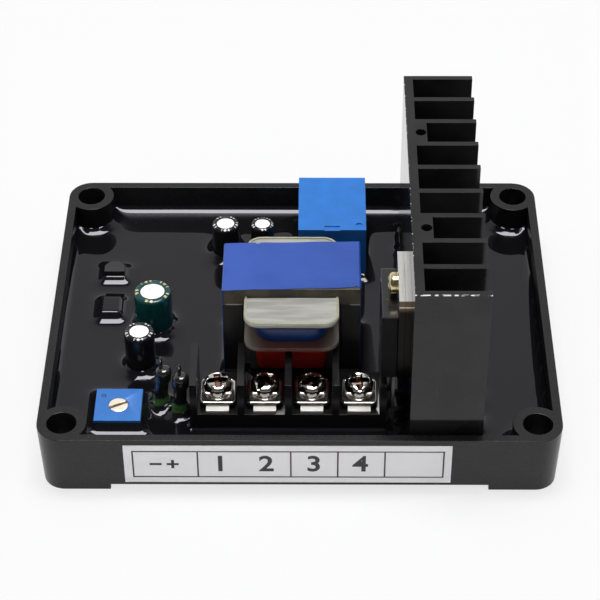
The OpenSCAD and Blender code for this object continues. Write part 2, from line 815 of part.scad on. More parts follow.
// Aluminium can with a scored vent on its top
module capacitor_can(i) {
    r = cap_r[i] - sleeve_t - pot_gap;
    score_w = 0.24;
    score_d = 0.14;
    score_l = 2*cap_r[i]*(1 - sleeve_lip);
    top = top_z + cap_h[i] - sleeve_t;
    color([0.8, 0.8, 0.8])
        translate([cap_x(i), cap_y(i), 0])
            difference() {
                translate([0, 0, top_z + bung_h])
                    cylinder(r = r, h = top - top_z - bung_h);
                for (a = [40, 130])
                    rotate([0, 0, a])
                        translate([-score_l/2, -score_w/2, top - score_d])
                            cube([score_l, score_w, 1]);
            }
}

// Shrunk sleeve with an edge that is rolled over the can's top
module capacitor_sleeve(i, shade) {
    r = cap_r[i];
    lip_r = r*(1 - sleeve_lip);
    low = top_z + bung_h;
    high = top_z + cap_h[i];
    color(shade)
        translate([cap_x(i), cap_y(i), 0])
            rotate_extrude()
                polygon([[r - sleeve_t, low], [r, low], [r, high],
                         [lip_r, high], [lip_r, high - sleeve_t],
                         [r - sleeve_t, high - sleeve_t]]);
}

module green_capacitor_can() capacitor_can(0);
module green_capacitor_sleeve() capacitor_sleeve(0, [0.03, 0.28, 0.22]);
module black_capacitor_can() capacitor_can(1);
module black_capacitor_sleeve() capacitor_sleeve(1, [0.04, 0.04, 0.045]);
module rear_left_capacitor_can() capacitor_can(2);
module rear_left_capacitor_sleeve() capacitor_sleeve(2, [0.05, 0.05, 0.055]);
module rear_right_capacitor_can() capacitor_can(3);
module rear_right_capacitor_sleeve() capacitor_sleeve(3, [0.05, 0.05, 0.055]);

module capacitor_bungs() {
    color([0.06, 0.06, 0.06])
        for (i = cap_ids)
            difference() {
                posts([[cap_x(i), cap_y(i)]], cap_r[i] - sleeve_t - pot_gap, top_z, bung_h);
                posts(cap_lead_pts, lead_r + lead_gap, top_z - over, bung_h + 2*over);
            }
}

module capacitor_leads() {
    color(tinned)
        posts(cap_lead_pts, lead_r, tail_z, tail_h + bung_h);
}

module trimmer_body() {
    color(trimmer_blue)
        difference() {
            box(trimmer_x - trimmer_w/2, trimmer_y - trimmer_w/2, top_z, [trimmer_w, trimmer_w, trimmer_h]);
            translate([trimmer_x, trimmer_y, rotor_z - seat_gap])
                cylinder(r = rotor_r + rotor_gap, h = rotor_h + over);
            posts(trimmer_pin_pts, lead_r + lead_gap, top_z - over, over + pin_seat);
        }
}

// Rotor with a screwdriver slot
module trimmer_rotor() {
    rotor_slot_w = 0.65;
    rotor_slot_d = 0.6;
    color([0.85, 0.74, 0.52])
        translate([trimmer_x, trimmer_y, rotor_z])
            rotate([0, 0, rotor_turn])
                difference() {
                    cylinder(r = rotor_r, h = rotor_h);
                    translate([-rotor_r - over, -rotor_slot_w/2, rotor_h - rotor_slot_d])
                        cube([2*rotor_r + 2*over, rotor_slot_w, rotor_slot_d + over]);
                }
}

module trimmer_pins() {
    color(tinned)
        posts(trimmer_pin_pts, lead_r, tail_z, tail_h + pin_seat - lead_gap);
}

// Barrier block: a base with upright walls between the ways
module terminal_block() {
    shank_clear = 0.6;
    shank_room = shank_r + shank_clear;
    color([0.045, 0.045, 0.05])
        difference() {
            union() {
                box(block_x - block_w/2, block_y, top_z, [block_w, block_d, block_base_h]);
                for (i = [0:way_count])
                    box(block_x + (i - way_count/2)*way_pitch - barrier_t/2, block_y, top_z,
                        [barrier_t, block_d, block_h]);
            }
            for (i = [0:way_count - 1])
                posts([[way_x(i), screw_y]], shank_room, top_z - over, block_base_h + 2*over);
            posts(contact_pin_pts, contact_pin_r + lead_gap, top_z - over, block_base_h + 2*over);
        }
}

// Flat contacts on the base, each with a tapped hole and a pin to the board
module contact_plates() {
    color(nickel)
        for (i = [0:way_count - 1]) {
            difference() {
                box(way_x(i) - contact_w/2, block_y + contact_inset, base_z,
                    [contact_w, contact_l, contact_t]);
                posts([[way_x(i), screw_y]], shank_r + thread_gap, base_z - over, contact_t + 2*over);
            }
            posts([contact_pin_pts[i]], contact_pin_r, tail_z, base_z + contact_t/2 - tail_z);
        }
}

// Square dished washer that the screw carries
module clamp_washer(i) {
    dish_rim = 0.45;
    dish_r = washer_w/2 - dish_rim;
    color(nickel)
        translate([way_x(i), screw_y, washer_z])
            difference() {
                linear_extrude(washer_t)
                    round_rect(washer_w, washer_w, washer_r);
                translate([0, 0, washer_t - washer_dish])
                    cylinder(r = dish_r, h = 1);
                translate([0, 0, -1])
                    cylinder(r = shank_r + washer_gap, h = washer_t + 2*over);
            }
}

// Pan head screw with a slot and a cross recess
module terminal_screw(i) {
    cross_l = head_r*1.25;
    cross_d = head_h*0.7;
    slot_d = head_h*0.45;
    color(nickel)
        translate([way_x(i), screw_y, head_z]) {
            translate([0, 0, -shank_l])
                cylinder(r = shank_r, h = shank_l + eps);
            rotate([0, 0, screw_turns[i]])
                difference() {
                    domed_head(head_r, head_h);
                    translate([-head_r - over, -slot_w/2, head_h - slot_d])
                        cube([2*head_r + 2*over, slot_w, head_h]);
                    for (a = [0, 90])
                        rotate([0, 0, a])
                            translate([-cross_l/2, -slot_w/2, head_h - cross_d])
                                cube([cross_l, slot_w, head_h]);
                }
        }
}

module clamp_washer_1() clamp_washer(0);
module clamp_washer_2() clamp_washer(1);
module clamp_washer_3() clamp_washer(2);
module clamp_washer_4() clamp_washer(3);
module terminal_screw_1() terminal_screw(0);
module terminal_screw_2() terminal_screw(1);
module terminal_screw_3() terminal_screw(2);
module terminal_screw_4() terminal_screw(3);

// Plan of a transistor: flat at the front, round at the back
module transistor_plan(gap) {
    half = transistor_w/2 + gap;
    straight = transistor_d - transistor_w*0.3;
    translate([-half, -gap])
        square([2*half, straight + gap]);
    intersection() {
        translate([0, transistor_d - transistor_w/2])
            circle(half);
        translate([-half, straight - eps])
            square([2*half, transistor_w]);
    }
}

module transistor_bodies() {
    color([0.03, 0.03, 0.03])
        for (i = [0, 1])
            difference() {
                translate([transistor_x, transistor_y(i), top_z])
                    linear_extrude(transistor_h[i])
                        transistor_plan(0);
                posts(transistor_lead_pts, lead_r + lead_gap, top_z - over, over + pin_seat);
            }
}

module transistor_leads() {
    color(tinned)
        posts(transistor_lead_pts, lead_r, tail_z, tail_h + pin_seat - lead_gap);
}

// Standing resistors: a waist between two rounded end caps
module standing_resistors() {
    cap_l = stand_l*0.3;
    round = 0.6;
    color([0.05, 0.12, 0.08])
        for (i = [0, 1])
            translate([stand_xs[i], stand_y(i), stand_z])
                rotate_extrude()
                    polygon([[0, 0], [stand_r - round, 0], [stand_r, round],
                             [stand_r, cap_l - round], [stand_waist_r, cap_l + round],
                             [stand_waist_r, stand_l - cap_l - round], [stand_r, stand_l - cap_l + round],
                             [stand_r, stand_l - round], [stand_r - round, stand_l], [0, stand_l]]);
}

// Lower leads, and upper leads that bend over and come down beside the body
module standing_resistor_leads() {
    color(tinned)
        for (i = [0, 1]) {
            posts([stand_lead_pts[2*i]], lead_r, tail_z, stand_z - tail_z);
            posts([stand_lead_pts[2*i + 1]], lead_r, tail_z, stand_z + stand_l - tail_z);
            translate([stand_xs[i], stand_y(i) + stand_bend/2, stand_z + stand_l])
                rotate([90, 0, 90])
                    rotate_extrude(angle = 180)
                        translate([stand_bend/2, 0])
                            circle(lead_r);
        }
}

// A row of small parts that lie on the board
module chips(x, y, r, l) {
    for (i = [0:chip_rows - 1])
        translate([x - l/2, y + (i - (chip_rows - 1)/2)*chip_pitch, top_z + chip_r])
            rotate([0, 90, 0])
                cylinder(r = r, h = l);
}

module board_diodes() {
    color([0.7, 0.25, 0.1])
        chips(diode_x, diode_y, chip_r, chip_l);
}

module board_resistors() {
    color([0.8, 0.72, 0.5])
        chips(chip_resistor_x, 0, chip_r, chip_l);
}

case();
potting();
label();
circuit_board();
heat_sink();
heat_sink_screws();
power_device_body();
power_device_tab();
power_device_leads();
spacer_plate();
device_screw();
core_e_stack();
core_i_stack();
core_tape();
bobbin();
upper_winding();
lower_winding();
transformer_pins();
relay_case();
relay_pins();
green_capacitor_can();
green_capacitor_sleeve();
black_capacitor_can();
black_capacitor_sleeve();
rear_left_capacitor_can();
rear_left_capacitor_sleeve();
rear_right_capacitor_can();
rear_right_capacitor_sleeve();
capacitor_bungs();
capacitor_leads();
trimmer_body();
trimmer_rotor();
trimmer_pins();
terminal_block();
contact_plates();
clamp_washer_1();
clamp_washer_2();
clamp_washer_3();
clamp_washer_4();
terminal_screw_1();
terminal_screw_2();
terminal_screw_3();
terminal_screw_4();
transistor_bodies();
transistor_leads();
standing_resistors();
standing_resistor_leads();
board_diodes();
board_resistors();
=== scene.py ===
"""Looks of a potted voltage regulator: finishes, eased edges, resin, screws and a studio."""

import math

import bmesh
import bpy
import numpy as np
from mathutils import Matrix, Vector


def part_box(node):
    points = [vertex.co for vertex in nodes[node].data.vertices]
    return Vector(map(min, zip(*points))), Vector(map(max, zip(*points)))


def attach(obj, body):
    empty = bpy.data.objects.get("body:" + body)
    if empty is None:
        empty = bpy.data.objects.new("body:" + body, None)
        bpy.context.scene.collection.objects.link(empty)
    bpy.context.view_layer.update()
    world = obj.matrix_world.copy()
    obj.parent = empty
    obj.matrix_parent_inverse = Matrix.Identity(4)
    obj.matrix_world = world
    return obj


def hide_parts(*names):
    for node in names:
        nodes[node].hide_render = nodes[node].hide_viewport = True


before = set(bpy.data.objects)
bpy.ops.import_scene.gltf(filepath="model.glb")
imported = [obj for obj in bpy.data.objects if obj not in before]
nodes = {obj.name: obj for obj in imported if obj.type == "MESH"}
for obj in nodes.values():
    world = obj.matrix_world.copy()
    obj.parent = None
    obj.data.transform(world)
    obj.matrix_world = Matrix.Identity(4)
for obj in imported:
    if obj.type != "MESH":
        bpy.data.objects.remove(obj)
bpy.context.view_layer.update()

MM = 0.001
TAU = 2 * math.pi

# Sizes that pieces share, in millimetres

# The case's hole centres from its middle, its bosses, and the bite that the resin leaves out for them
HOLE_X, HOLE_Y = 47.5, 37.0
BOSS_R = 5.0
BOSS_BITE = 4.4
# The sink's base plate and fins
SINK_BASE = 1.9
FIN_T = 1.3
FIN_COUNT = 10
# How high the resin climbs, how soon the climb fades, and the power that blends climbs that meet
MENISCUS = 1.35
TRIMMER_CLIMB = 1.9
BLOCK_CLIMB = 0.45
CREEP = 1.1
BLEND = 3
# The height of the resin coat over the sunk transistor, and its reach past the body in plan
COAT_TOP = 9.5
COAT_REACH = (-0.3, 0.7, 0)
# Degrees that each terminal screw is turned by, and the height of its head
SCREW_TURNS = (8, 62, 24, 93)
HEAD = 3.4
# Each standing resistor's shift to the right at its foot, and its lean to the right over its height
RESISTOR_LEANS = ((-0.5, 1.2), (-0.3, 0.7))
# The front wall draws in by 0.6 mm over its height of 14.2 mm
DRAFT = 0.6 / 14.2
# The capacitors' names, which their nodes start with
CAPACITORS = ("green_capacitor", "black_capacitor", "rear_left_capacitor", "rear_right_capacitor")


# Meshes from numpy grids


def grid(points, wrap=False):
    """Vertices and quads of a (rows, columns, 3) array; wrap joins the last column to the first."""
    rows, columns = points.shape[:2]
    index = np.arange(rows * columns).reshape(rows, columns)
    if wrap:
        index = np.concatenate([index, index[:, :1]], axis=1)
    quads = np.stack([index[:-1, :-1], index[:-1, 1:], index[1:, 1:], index[1:, :-1]], axis=-1)
    return points.reshape(-1, 3), quads.reshape(-1, 4)


def joined(surfaces):
    """Several surfaces as one: their vertices in a row, and quads shifted to match."""
    starts = np.cumsum([0] + [len(v) for v, _ in surfaces[:-1]])
    vertices = np.concatenate([v for v, _ in surfaces])
    quads = np.concatenate([q + s for (_, q), s in zip(surfaces, starts)])
    return vertices, quads


def finish_mesh(mesh, sharp_angle):
    """Merges doubles, turns faces outwards and shades smooth between edges under the angle."""
    work = bmesh.new()
    work.from_mesh(mesh)
    bmesh.ops.remove_doubles(work, verts=work.verts, dist=1e-7)
    bmesh.ops.dissolve_degenerate(work, edges=work.edges, dist=1e-7)
    bmesh.ops.recalc_face_normals(work, faces=work.faces)
    work.to_mesh(mesh)
    work.free()
    mesh.polygons.foreach_set("use_smooth", np.ones(len(mesh.polygons), bool))
    mesh.set_sharp_from_angle(angle=math.radians(sharp_angle))


def piece(name, surfaces, finish, stands_for=(), body="root", sharp_angle=40):
    """A new object in the row frame, in metres, from surfaces given in millimetres."""
    vertices, quads = joined(surfaces)
    mesh = bpy.data.meshes.new(name)
    mesh.vertices.add(len(vertices))
    mesh.vertices.foreach_set("co", np.asarray(vertices * MM, np.float32).ravel())
    mesh.loops.add(quads.size)
    mesh.loops.foreach_set("vertex_index", quads.astype(np.int32).ravel())
    mesh.polygons.add(len(quads))
    mesh.polygons.foreach_set("loop_start", np.arange(0, quads.size, 4, dtype=np.int32))
    mesh.update(calc_edges=True)
    finish_mesh(mesh, sharp_angle)
    return shown(name, mesh, finish, stands_for, body)


def shown(name, mesh, finish, stands_for, body):
    """Links a mesh, gives it its finish and lets it ride on its body."""
    obj = bpy.data.objects.new(name, mesh)
    bpy.context.scene.collection.objects.link(obj)
    mesh.materials.clear()
    mesh.materials.append(finish.material)
    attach(obj, body)
    if stands_for:
        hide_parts(*stands_for)
    return obj


def eased(node, width, finish, body="root", segments=2):
    """A copy of a node with merged flat faces and edges rounded by a width in millimetres."""
    mesh = nodes[node].data.copy()
    work = bmesh.new()
    work.from_mesh(mesh)
    bmesh.ops.remove_doubles(work, verts=work.verts, dist=1e-6)
    bmesh.ops.dissolve_limit(work, angle_limit=math.radians(0.6), verts=work.verts, edges=work.edges)
    work.to_mesh(mesh)
    work.free()
    mesh.polygons.foreach_set("use_smooth", np.ones(len(mesh.polygons), bool))
    mesh.set_sharp_from_angle(angle=math.radians(35))
    obj = shown(node + "_eased", mesh, finish, (node,), body)
    bevel = obj.modifiers.new("edges", "BEVEL")
    bevel.width = width * MM
    bevel.segments = segments
    bevel.limit_method = "ANGLE"
    bevel.angle_limit = math.radians(38)
    bevel.use_clamp_overlap = True
    bevel.harden_normals = True
    return obj


def dress(node, finish):
    """Gives a carried-over node its finish."""
    mesh = nodes[node].data
    mesh.materials.clear()
    mesh.materials.append(finish.material)


def node_box(node):
    """Lowest and highest corner of a node, in millimetres."""
    lo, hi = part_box(node)
    return np.array(lo) / MM, np.array(hi) / MM


# Profiles and surfaces


def rounded(points, radii, steps=6):
    """A polyline with each inner corner replaced by an arc that is tangent to both its sides."""
    points = [np.array(p, float) for p in points]
    out = [points[0]]
    for before, corner, after, radius in zip(points, points[1:], points[2:], radii):
        a = (before - corner) / np.linalg.norm(before - corner)
        b = (after - corner) / np.linalg.norm(after - corner)
        half = math.acos(np.clip(a @ b, -1, 1)) / 2
        reach = radius / math.tan(half)
        centre = corner + (a + b) / np.linalg.norm(a + b) * radius / math.sin(half)
        start = corner + a * reach - centre
        end = corner + b * reach - centre
        sweep = math.atan2(start[0] * end[1] - start[1] * end[0], start @ end)
        angle = np.linspace(0, sweep, steps)
        turned = np.stack([start[0] * np.cos(angle) - start[1] * np.sin(angle),
                           start[0] * np.sin(angle) + start[1] * np.cos(angle)], axis=1)
        out.extend(centre + turned)
    out.append(points[-1])
    return np.array(out)


def revolved(profile, centre, sides=72):
    """A profile of (radius, height) pairs carried round a vertical axis."""
    angle = np.linspace(0, TAU, sides, endpoint=False)
    radius = profile[:, :1]
    x = centre[0] + radius * np.cos(angle)
    y = centre[1] + radius * np.sin(angle)
    z = np.broadcast_to(profile[:, 1:], x.shape)
    return grid(np.stack([x, y, z], axis=-1), wrap=True)


def plan_loop(lo, hi, radius, steps=8):
    """A rectangle's outline with round corners, counter-clockwise, as (x, y) points."""
    quarter = np.linspace(0, math.pi / 2, steps)
    corners = ((hi[0], hi[1]), (lo[0], hi[1]), (lo[0], lo[1]), (hi[0], lo[1]))
    inward = ((-1, -1), (1, -1), (1, 1), (-1, 1))
    arcs = []
    for k, (corner, way) in enumerate(zip(corners, inward)):
        angle = quarter + k * math.pi / 2
        arcs.append(np.stack([corner[0] + way[0] * radius + radius * np.cos(angle),
                              corner[1] + way[1] * radius + radius * np.sin(angle)], axis=1))
    return np.concatenate(arcs)


# Shader maths


class Value:
    """One output in a node tree; arithmetic on it adds Math nodes."""

    def __init__(self, shading, socket):
        self.shading = shading
        self.socket = socket

    def maths(self, operation, *values):
        """A Math node with its inputs in order."""
        settings = {"operation": operation}
        return self.shading.node("ShaderNodeMath", settings, dict(enumerate(values)))

    def __add__(self, other):
        return self.maths("ADD", self, other)

    def __mul__(self, other):
        return self.maths("MULTIPLY", self, other)

    def __sub__(self, other):
        return self.maths("SUBTRACT", self, other)

    def __rsub__(self, other):
        return self.maths("SUBTRACT", other, self)

    __radd__ = __add__
    __rmul__ = __mul__

    def above(self, low, high):
        """0 below low, 1 above high, smooth between."""
        settings = {"interpolation_type": "SMOOTHSTEP"}
        return self.shading.node("ShaderNodeMapRange", settings, {"Value": self, 1: low, 2: high})

    def band(self, centre, half, soft):
        """1 within half of centre, falling to 0 over soft."""
        away = self.maths("ABSOLUTE", self - centre)
        return 1 - away.above(half, half + soft)


class Shading:
    """A node tree that nodes are added to."""

    def __init__(self, tree):
        self.tree = tree

    def node(self, kind, settings=None, inputs=None, out=0):
        """Adds a node, sets its settings and then the values or links of its sockets."""
        made = self.tree.nodes.new(kind)
        for key, value in (settings or {}).items():
            if key == "stops":
                ramp = made.color_ramp.elements
                while len(ramp) < len(value):
                    ramp.new(0.5)
                for element, (place, colour) in zip(ramp, value):
                    element.position = place
                    element.color = (*colour, 1)
            else:
                setattr(made, key, value)
        for key, value in (inputs or {}).items():
            self.put(made.inputs[key], value)
        return Value(self, made.outputs[out])

    def put(self, socket, value):
        """Links a Value to a socket, or sets a plain number, vector or colour there."""
        if isinstance(value, Value):
            self.tree.links.new(value.socket, socket)
        elif isinstance(value, tuple) and socket.type == "RGBA":
            socket.default_value = (*value, 1)
        else:
            socket.default_value = value


class Finish(Shading):
    """A material round one Principled shader; constants are set straight on its sockets."""

    def __init__(self, name, colour, **constants):
        self.material = bpy.data.materials.new(name)
        self.material.use_nodes = True
        super().__init__(self.material.node_tree)
        self.shader = self.tree.nodes["Principled BSDF"]
        self.shader.inputs["Base Color"].default_value = (*colour, 1)
        for socket, value in constants.items():
            self.shader.inputs[socket.replace("_", " ")].default_value = value

    def place(self):
        """Object coordinates, in metres of the row frame."""
        return self.node("ShaderNodeTexCoord", out="Object")

    def axis(self, which):
        """One Object coordinate, in millimetres."""
        split = self.node("ShaderNodeSeparateXYZ", None, {0: self.place()}, out=which)
        return split * (1 / MM)

    def noise(self, per_mm, detail=3.0, stretch=(1, 1, 1)):
        """Noise of about per_mm waves in a millimetre, with its space stretched along the axes."""
        scale = tuple(s * per_mm / MM for s in stretch)
        space = self.node("ShaderNodeMapping", None, {"Vector": self.place(), "Scale": scale})
        return self.node("ShaderNodeTexNoise", None, {"Vector": space, "Scale": 1.0, "Detail": detail})

    def mix(self, amount, first, second):
        """A colour between two colours."""
        settings = {"data_type": "RGBA"}
        return self.node("ShaderNodeMix", settings, {0: amount, 6: first, 7: second}, out=2)

    def set(self, socket, value):
        """Links or sets one input of the shader."""
        self.put(self.shader.inputs[socket], value)

    def bump(self, height, depth_mm, strength=1.0):
        """Tilts the normal by a height of 0 to 1 times a depth in millimetres."""
        inputs = {"Strength": strength, "Distance": depth_mm * MM, "Height": height}
        self.set("Normal", self.node("ShaderNodeBump", None, inputs))


def speckled(finish, dark, light, per_mm, depth_mm, rough, stretch=(1, 1, 1)):
    """A moulded or cast surface: mottled colour, wandering roughness and a fine grain."""
    grain = finish.noise(per_mm, 4.0, stretch)
    mottle = finish.noise(per_mm * 0.08, 2.0)
    finish.set("Base Color", finish.mix(mottle.above(0.35, 0.65), dark, light))
    finish.set("Roughness", rough[0] + grain * (rough[1] - rough[0]))
    finish.bump(grain, depth_mm)
    return finish


def tint(colour, factor):
    """A colour times a factor."""
    return tuple(c * factor for c in colour)


# Finishes


def moulded(name, colour, rough=(0.22, 0.4), depth=0.012, per_mm=3.0, vary=1.25, **constants):
    """Moulded plastic in one colour, with lighter mottling."""
    finish = Finish(name, colour, **constants)
    return speckled(finish, colour, tint(colour, vary), per_mm, depth, rough)


def resin_finish():
    """Cast resin: black, mirror smooth, with faint dust and slow waves."""
    finish = Finish("cast_resin", (0.006, 0.006, 0.007), Roughness=0.03, IOR=1.47,
                    Specular_Tint=(0.94, 0.91, 1.0, 1))
    dust = finish.noise(1.6, 4.0).above(0.68, 0.8)
    finish.set("Base Color", finish.mix(dust * 0.35, (0.006, 0.006, 0.007), (0.03, 0.03, 0.03)))
    finish.set("Roughness", 0.025 + dust * 0.12)
    finish.bump(finish.noise(0.09, 1.0), 0.12, 0.6)
    return finish


def plated(name, colour, rough=(0.12, 0.3), per_mm=1.2, stretch=(1, 1, 1), stain=0.7, depth=0.008):
    """Plated or bare metal: stains in colour, streaky roughness and a fine brushed grain."""
    finish = Finish(name, colour, Metallic=1.0)
    streak = finish.noise(per_mm, 4.0, stretch)
    stains = finish.noise(0.35, 3.0).above(0.5, 0.75)
    finish.set("Base Color", finish.mix(stains, colour, tint(colour, stain)))
    finish.set("Roughness", rough[0] + streak * (rough[1] - rough[0]))
    finish.bump(streak, depth)
    return finish


def head_finish(number):
    """Nickel plate on a screw, with painted shade, dark and brownish, in the recess: below the dome and
    within its reach.
    """
    lo, hi = node_box(f"terminal_screw_{number}")
    middle = (lo + hi) / 2
    colour = (0.72, 0.69, 0.65)
    finish = plated(f"nickel_head_{number}", colour, rough=(0.05, 0.12), depth=0.002)
    x, y = finish.axis("X") - middle[0], finish.axis("Y") - middle[1]
    square = x * x + y * y
    within = 1 - square.above(4.2, 5.0)
    sunk = 1 - finish.axis("Z").above(hi[2] - 0.55, hi[2] - 0.25)
    head = finish.axis("Z").above(hi[2] - HEAD, hi[2] - HEAD + 0.1)
    stain = finish.noise(0.8, 3.0).above(0.4, 0.7)
    # Painted shade: the recess below the dome is coloured dark brownish, mottled by noise.
    recess_shade = finish.mix(stain, (0.05, 0.03, 0.022), (0.16, 0.10, 0.075))
    finish.set("Base Color", finish.mix(within * sunk * head, colour, recess_shade))
    return finish


def washer_finish():
    """Nickel plate that is bright on the turned-up rim, with painted shade and reflection: dark in the
    dish and on the sides.
    """
    top = node_box("clamp_washer_1")[1][2]
    colour = (0.74, 0.71, 0.67)
    finish = plated("nickel_washer", colour, depth=0.002)
    rim = finish.axis("Z").above(top - 0.13, top - 0.05)
    stain = finish.noise(0.7, 3.0).above(0.4, 0.7)
    # Painted shade and reflection: everything below the rim is coloured dark, mottled by noise.
    dish = finish.mix(stain, (0.07, 0.062, 0.058), (0.16, 0.145, 0.13))
    finish.set("Base Color", finish.mix(rim, dish, colour))
    finish.set("Roughness", 0.46 - rim * 0.36)
    return finish


def device_finish():
    """Moulding compound: a low gloss on every face but the front one, which stays dull."""
    front = node_box("power_device_body")[0][1]
    finish = moulded("mould_compound", (0.010, 0.010, 0.011), rough=(0.3, 0.45), depth=0.004, per_mm=5.0,
                     IOR=1.12, Coat_Roughness=0.16)
    finish.set("Coat Weight", finish.axis("Y").above(front + 0.25, front + 0.5))
    return finish


def plate_finish(node, colour):
    """A bare plate: bright and faintly streaked, with a bronze front end that darkens downwards."""
    lo, hi = node_box(node)
    finish = plated(node + "_metal", colour, rough=(0.16, 0.3), depth=0.003, stain=0.9)
    height = finish.axis("Z")
    end = 1 - finish.axis("Y").above(lo[1] + 0.08, lo[1] + 0.2)
    bronze = finish.mix(height.above(hi[2] - 3.0, hi[2] - 1.6), (0.012, 0.011, 0.01), (0.10, 0.075, 0.05))
    line = height.band(hi[2] - 1.5, 0.1, 0.1)
    bronze = finish.mix(line, bronze, (0.45, 0.42, 0.36))
    streak = finish.noise(0.5, 4.0, (1, 0.1, 1)).above(0.4, 0.7)
    bright = finish.mix(streak, colour, tint(colour, 0.8))
    finish.set("Base Color", finish.mix(end, bright, bronze))
    return finish


def anodised_finish():
    """Black anodised extrusion: die lines along Z, and bare scuffs on the upper edges."""
    lo, hi = node_box("heat_sink")
    finish = Finish("black_anodised", (0.012, 0.012, 0.013), IOR=1.4)
    lines = finish.noise(3.0, 3.0, (1, 1, 0.02))
    grain = finish.noise(6.0, 2.0)
    mottle = finish.noise(0.12, 3.0)
    top = finish.axis("Z").band(hi[2], 0.16, 0.1)
    front = finish.axis("Y").band(lo[1], 0.14, 0.12)
    left = finish.axis("X").band(lo[0], 0.1, 0.1)
    chips = finish.noise(0.8, 5.0)
    worn_front = top * front * chips.above(0.5, 0.56)
    worn_left = top * left * finish.noise(1.6, 4.0).above(0.58, 0.64)
    bare = worn_front.maths("MAXIMUM", worn_front, worn_left)
    black = finish.mix(mottle.above(0.3, 0.7), (0.010, 0.010, 0.011), (0.018, 0.018, 0.019))
    finish.set("Base Color", finish.mix(bare, black, (0.75, 0.74, 0.72)))
    finish.set("Metallic", bare)
    finish.set("Roughness", 0.07 + lines * 0.08 + bare * 0.2)
    finish.bump(lines * 0.7 + grain * 0.3, 0.002)
    return finish


def lamination_finish():
    """Varnished core steel: black on the E stack, bronze on the I stack over it, a painted highlight line
    where the two meet, cloudy varnish and thin sheet lines along Y."""
    joint = node_box("core_i_stack")[0][2]
    finish = Finish("varnished_steel", (0.012, 0.011, 0.01), IOR=1.45)
    cloud = finish.noise(0.25, 3.0)
    sheets = finish.noise(2.6, 1.0, (0.02, 1, 0.02))
    height = finish.axis("Z")
    black = finish.mix(cloud.above(0.35, 0.65), (0.007, 0.007, 0.007), (0.014, 0.013, 0.012))
    bronze = finish.mix(cloud.above(0.35, 0.65), (0.05, 0.042, 0.03), (0.10, 0.085, 0.055))
    varnish = finish.mix(height.above(joint - 0.1, joint + 0.1), black, bronze)
    # Painted highlight: a light, non-metallic line along the joint, broken up by noise.
    bare = height.band(joint - 0.05, 0.1, 0.08) * finish.noise(0.5, 3.0).above(0.35, 0.55)
    finish.set("Base Color", finish.mix(bare, varnish, (0.42, 0.40, 0.36)))
    finish.set("Roughness", 0.3 + cloud * 0.2)
    finish.bump(sheets, 0.012)
    return finish


def tape_finish(name, colour, light):
    """Polyester tape: slow cloudy colour, faint creases and a smooth gloss."""
    finish = Finish(name, colour, IOR=1.5)
    cloud = finish.noise(0.12, 3.0)
    crease = finish.noise(0.5, 2.0, (0.25, 1, 1))
    finish.set("Base Color", finish.mix(cloud.above(0.3, 0.7), colour, light))
    finish.set("Roughness", 0.26 + cloud * 0.14)
    finish.bump(crease, 0.05, 0.7)
    return finish


def bobbin_finish():
    """Natural plastic: warm grey on the top flange with flow marks along X; the middle flange shows the
    windings through, and all below it is painted near black as shade."""
    coil_lo, coil_hi = node_box("lower_winding")
    top = node_box("bobbin")[1][2]
    finish = Finish("natural_plastic", (0.42, 0.41, 0.37), IOR=1.45)
    flow = finish.noise(0.9, 3.0, (0.12, 1, 1))
    height = finish.axis("Z")
    away = finish.axis("X") - (coil_lo[0] + coil_hi[0]) / 2
    inside = 1 - away.maths("ABSOLUTE", away).above(5.0, 9.0)
    upper = finish.mix(flow.above(0.35, 0.65), (0.36, 0.355, 0.33), (0.50, 0.495, 0.46))
    through = finish.mix(inside, (0.21, 0.18, 0.155), (0.12, 0.05, 0.04))
    # Painted shade: near black below the top of the lower winding.
    lower = finish.mix(height.above(coil_hi[2] - 1.2, coil_hi[2] - 0.4), (0.014, 0.012, 0.012), through)
    finish.set("Base Color", finish.mix(height.above(top - 2.5, top - 2.0), lower, upper))
    finish.set("Roughness", 0.22 + flow * 0.2)
    finish.bump(flow, 0.02)
    return finish


def sleeve_finish(capacitor, colour, mark):
    """Shrunk vinyl sleeve: smooth gloss with faint ripples and a ring of plain dashes on its shoulder,
    where a sum of two sines of the angle is high."""
    lo, hi = node_box(capacitor + "_sleeve")
    middle = (lo + hi) / 2
    r = (hi[0] - lo[0]) / 2
    finish = Finish(capacitor + "_vinyl", colour, IOR=1.5)
    ripple = finish.noise(0.8, 2.0, (1, 1, 0.4))
    x, y = finish.axis("X") - middle[0], finish.axis("Y") - middle[1]
    square = x * x + y * y
    turn = y.maths("ARCTAN2", y, x)
    wave = turn.maths("SINE", turn * 19) + turn.maths("SINE", turn * 5 + r) * 0.9
    shoulder = finish.axis("Z").above(hi[2] - 0.7, hi[2] - 0.6)
    ring = square.maths("SQRT", square).band(r * 0.84, r * 0.075, 0.06) * shoulder
    vinyl = finish.mix(ripple.above(0.35, 0.65), colour, tint(colour, 1.35))
    finish.set("Base Color", finish.mix(ring * wave.above(0.55, 0.75), vinyl, mark))
    finish.set("Roughness", 0.14 + ripple * 0.1)
    finish.bump(ripple, 0.02)
    return finish


def resistor_finish():
    """Green lacquer under a splash of black resin that covers all but the lower caps."""
    foot = node_box("standing_resistors")[0][2]
    finish = Finish("splashed_lacquer", (0.02, 0.06, 0.03), IOR=1.5, Coat_Roughness=0.06)
    wander = finish.noise(0.5, 3.0)
    height = finish.axis("Z") + wander * 2.0
    green = 1 - height.above(foot + 3.2, foot + 5.0)
    finish.set("Base Color", finish.mix(green, (0.010, 0.011, 0.010), (0.09, 0.27, 0.07)))
    finish.set("Roughness", 0.1 + wander * 0.15)
    finish.set("Coat Weight", 0.5 + wander * 0.4)
    finish.bump(wander, 0.06)
    return finish


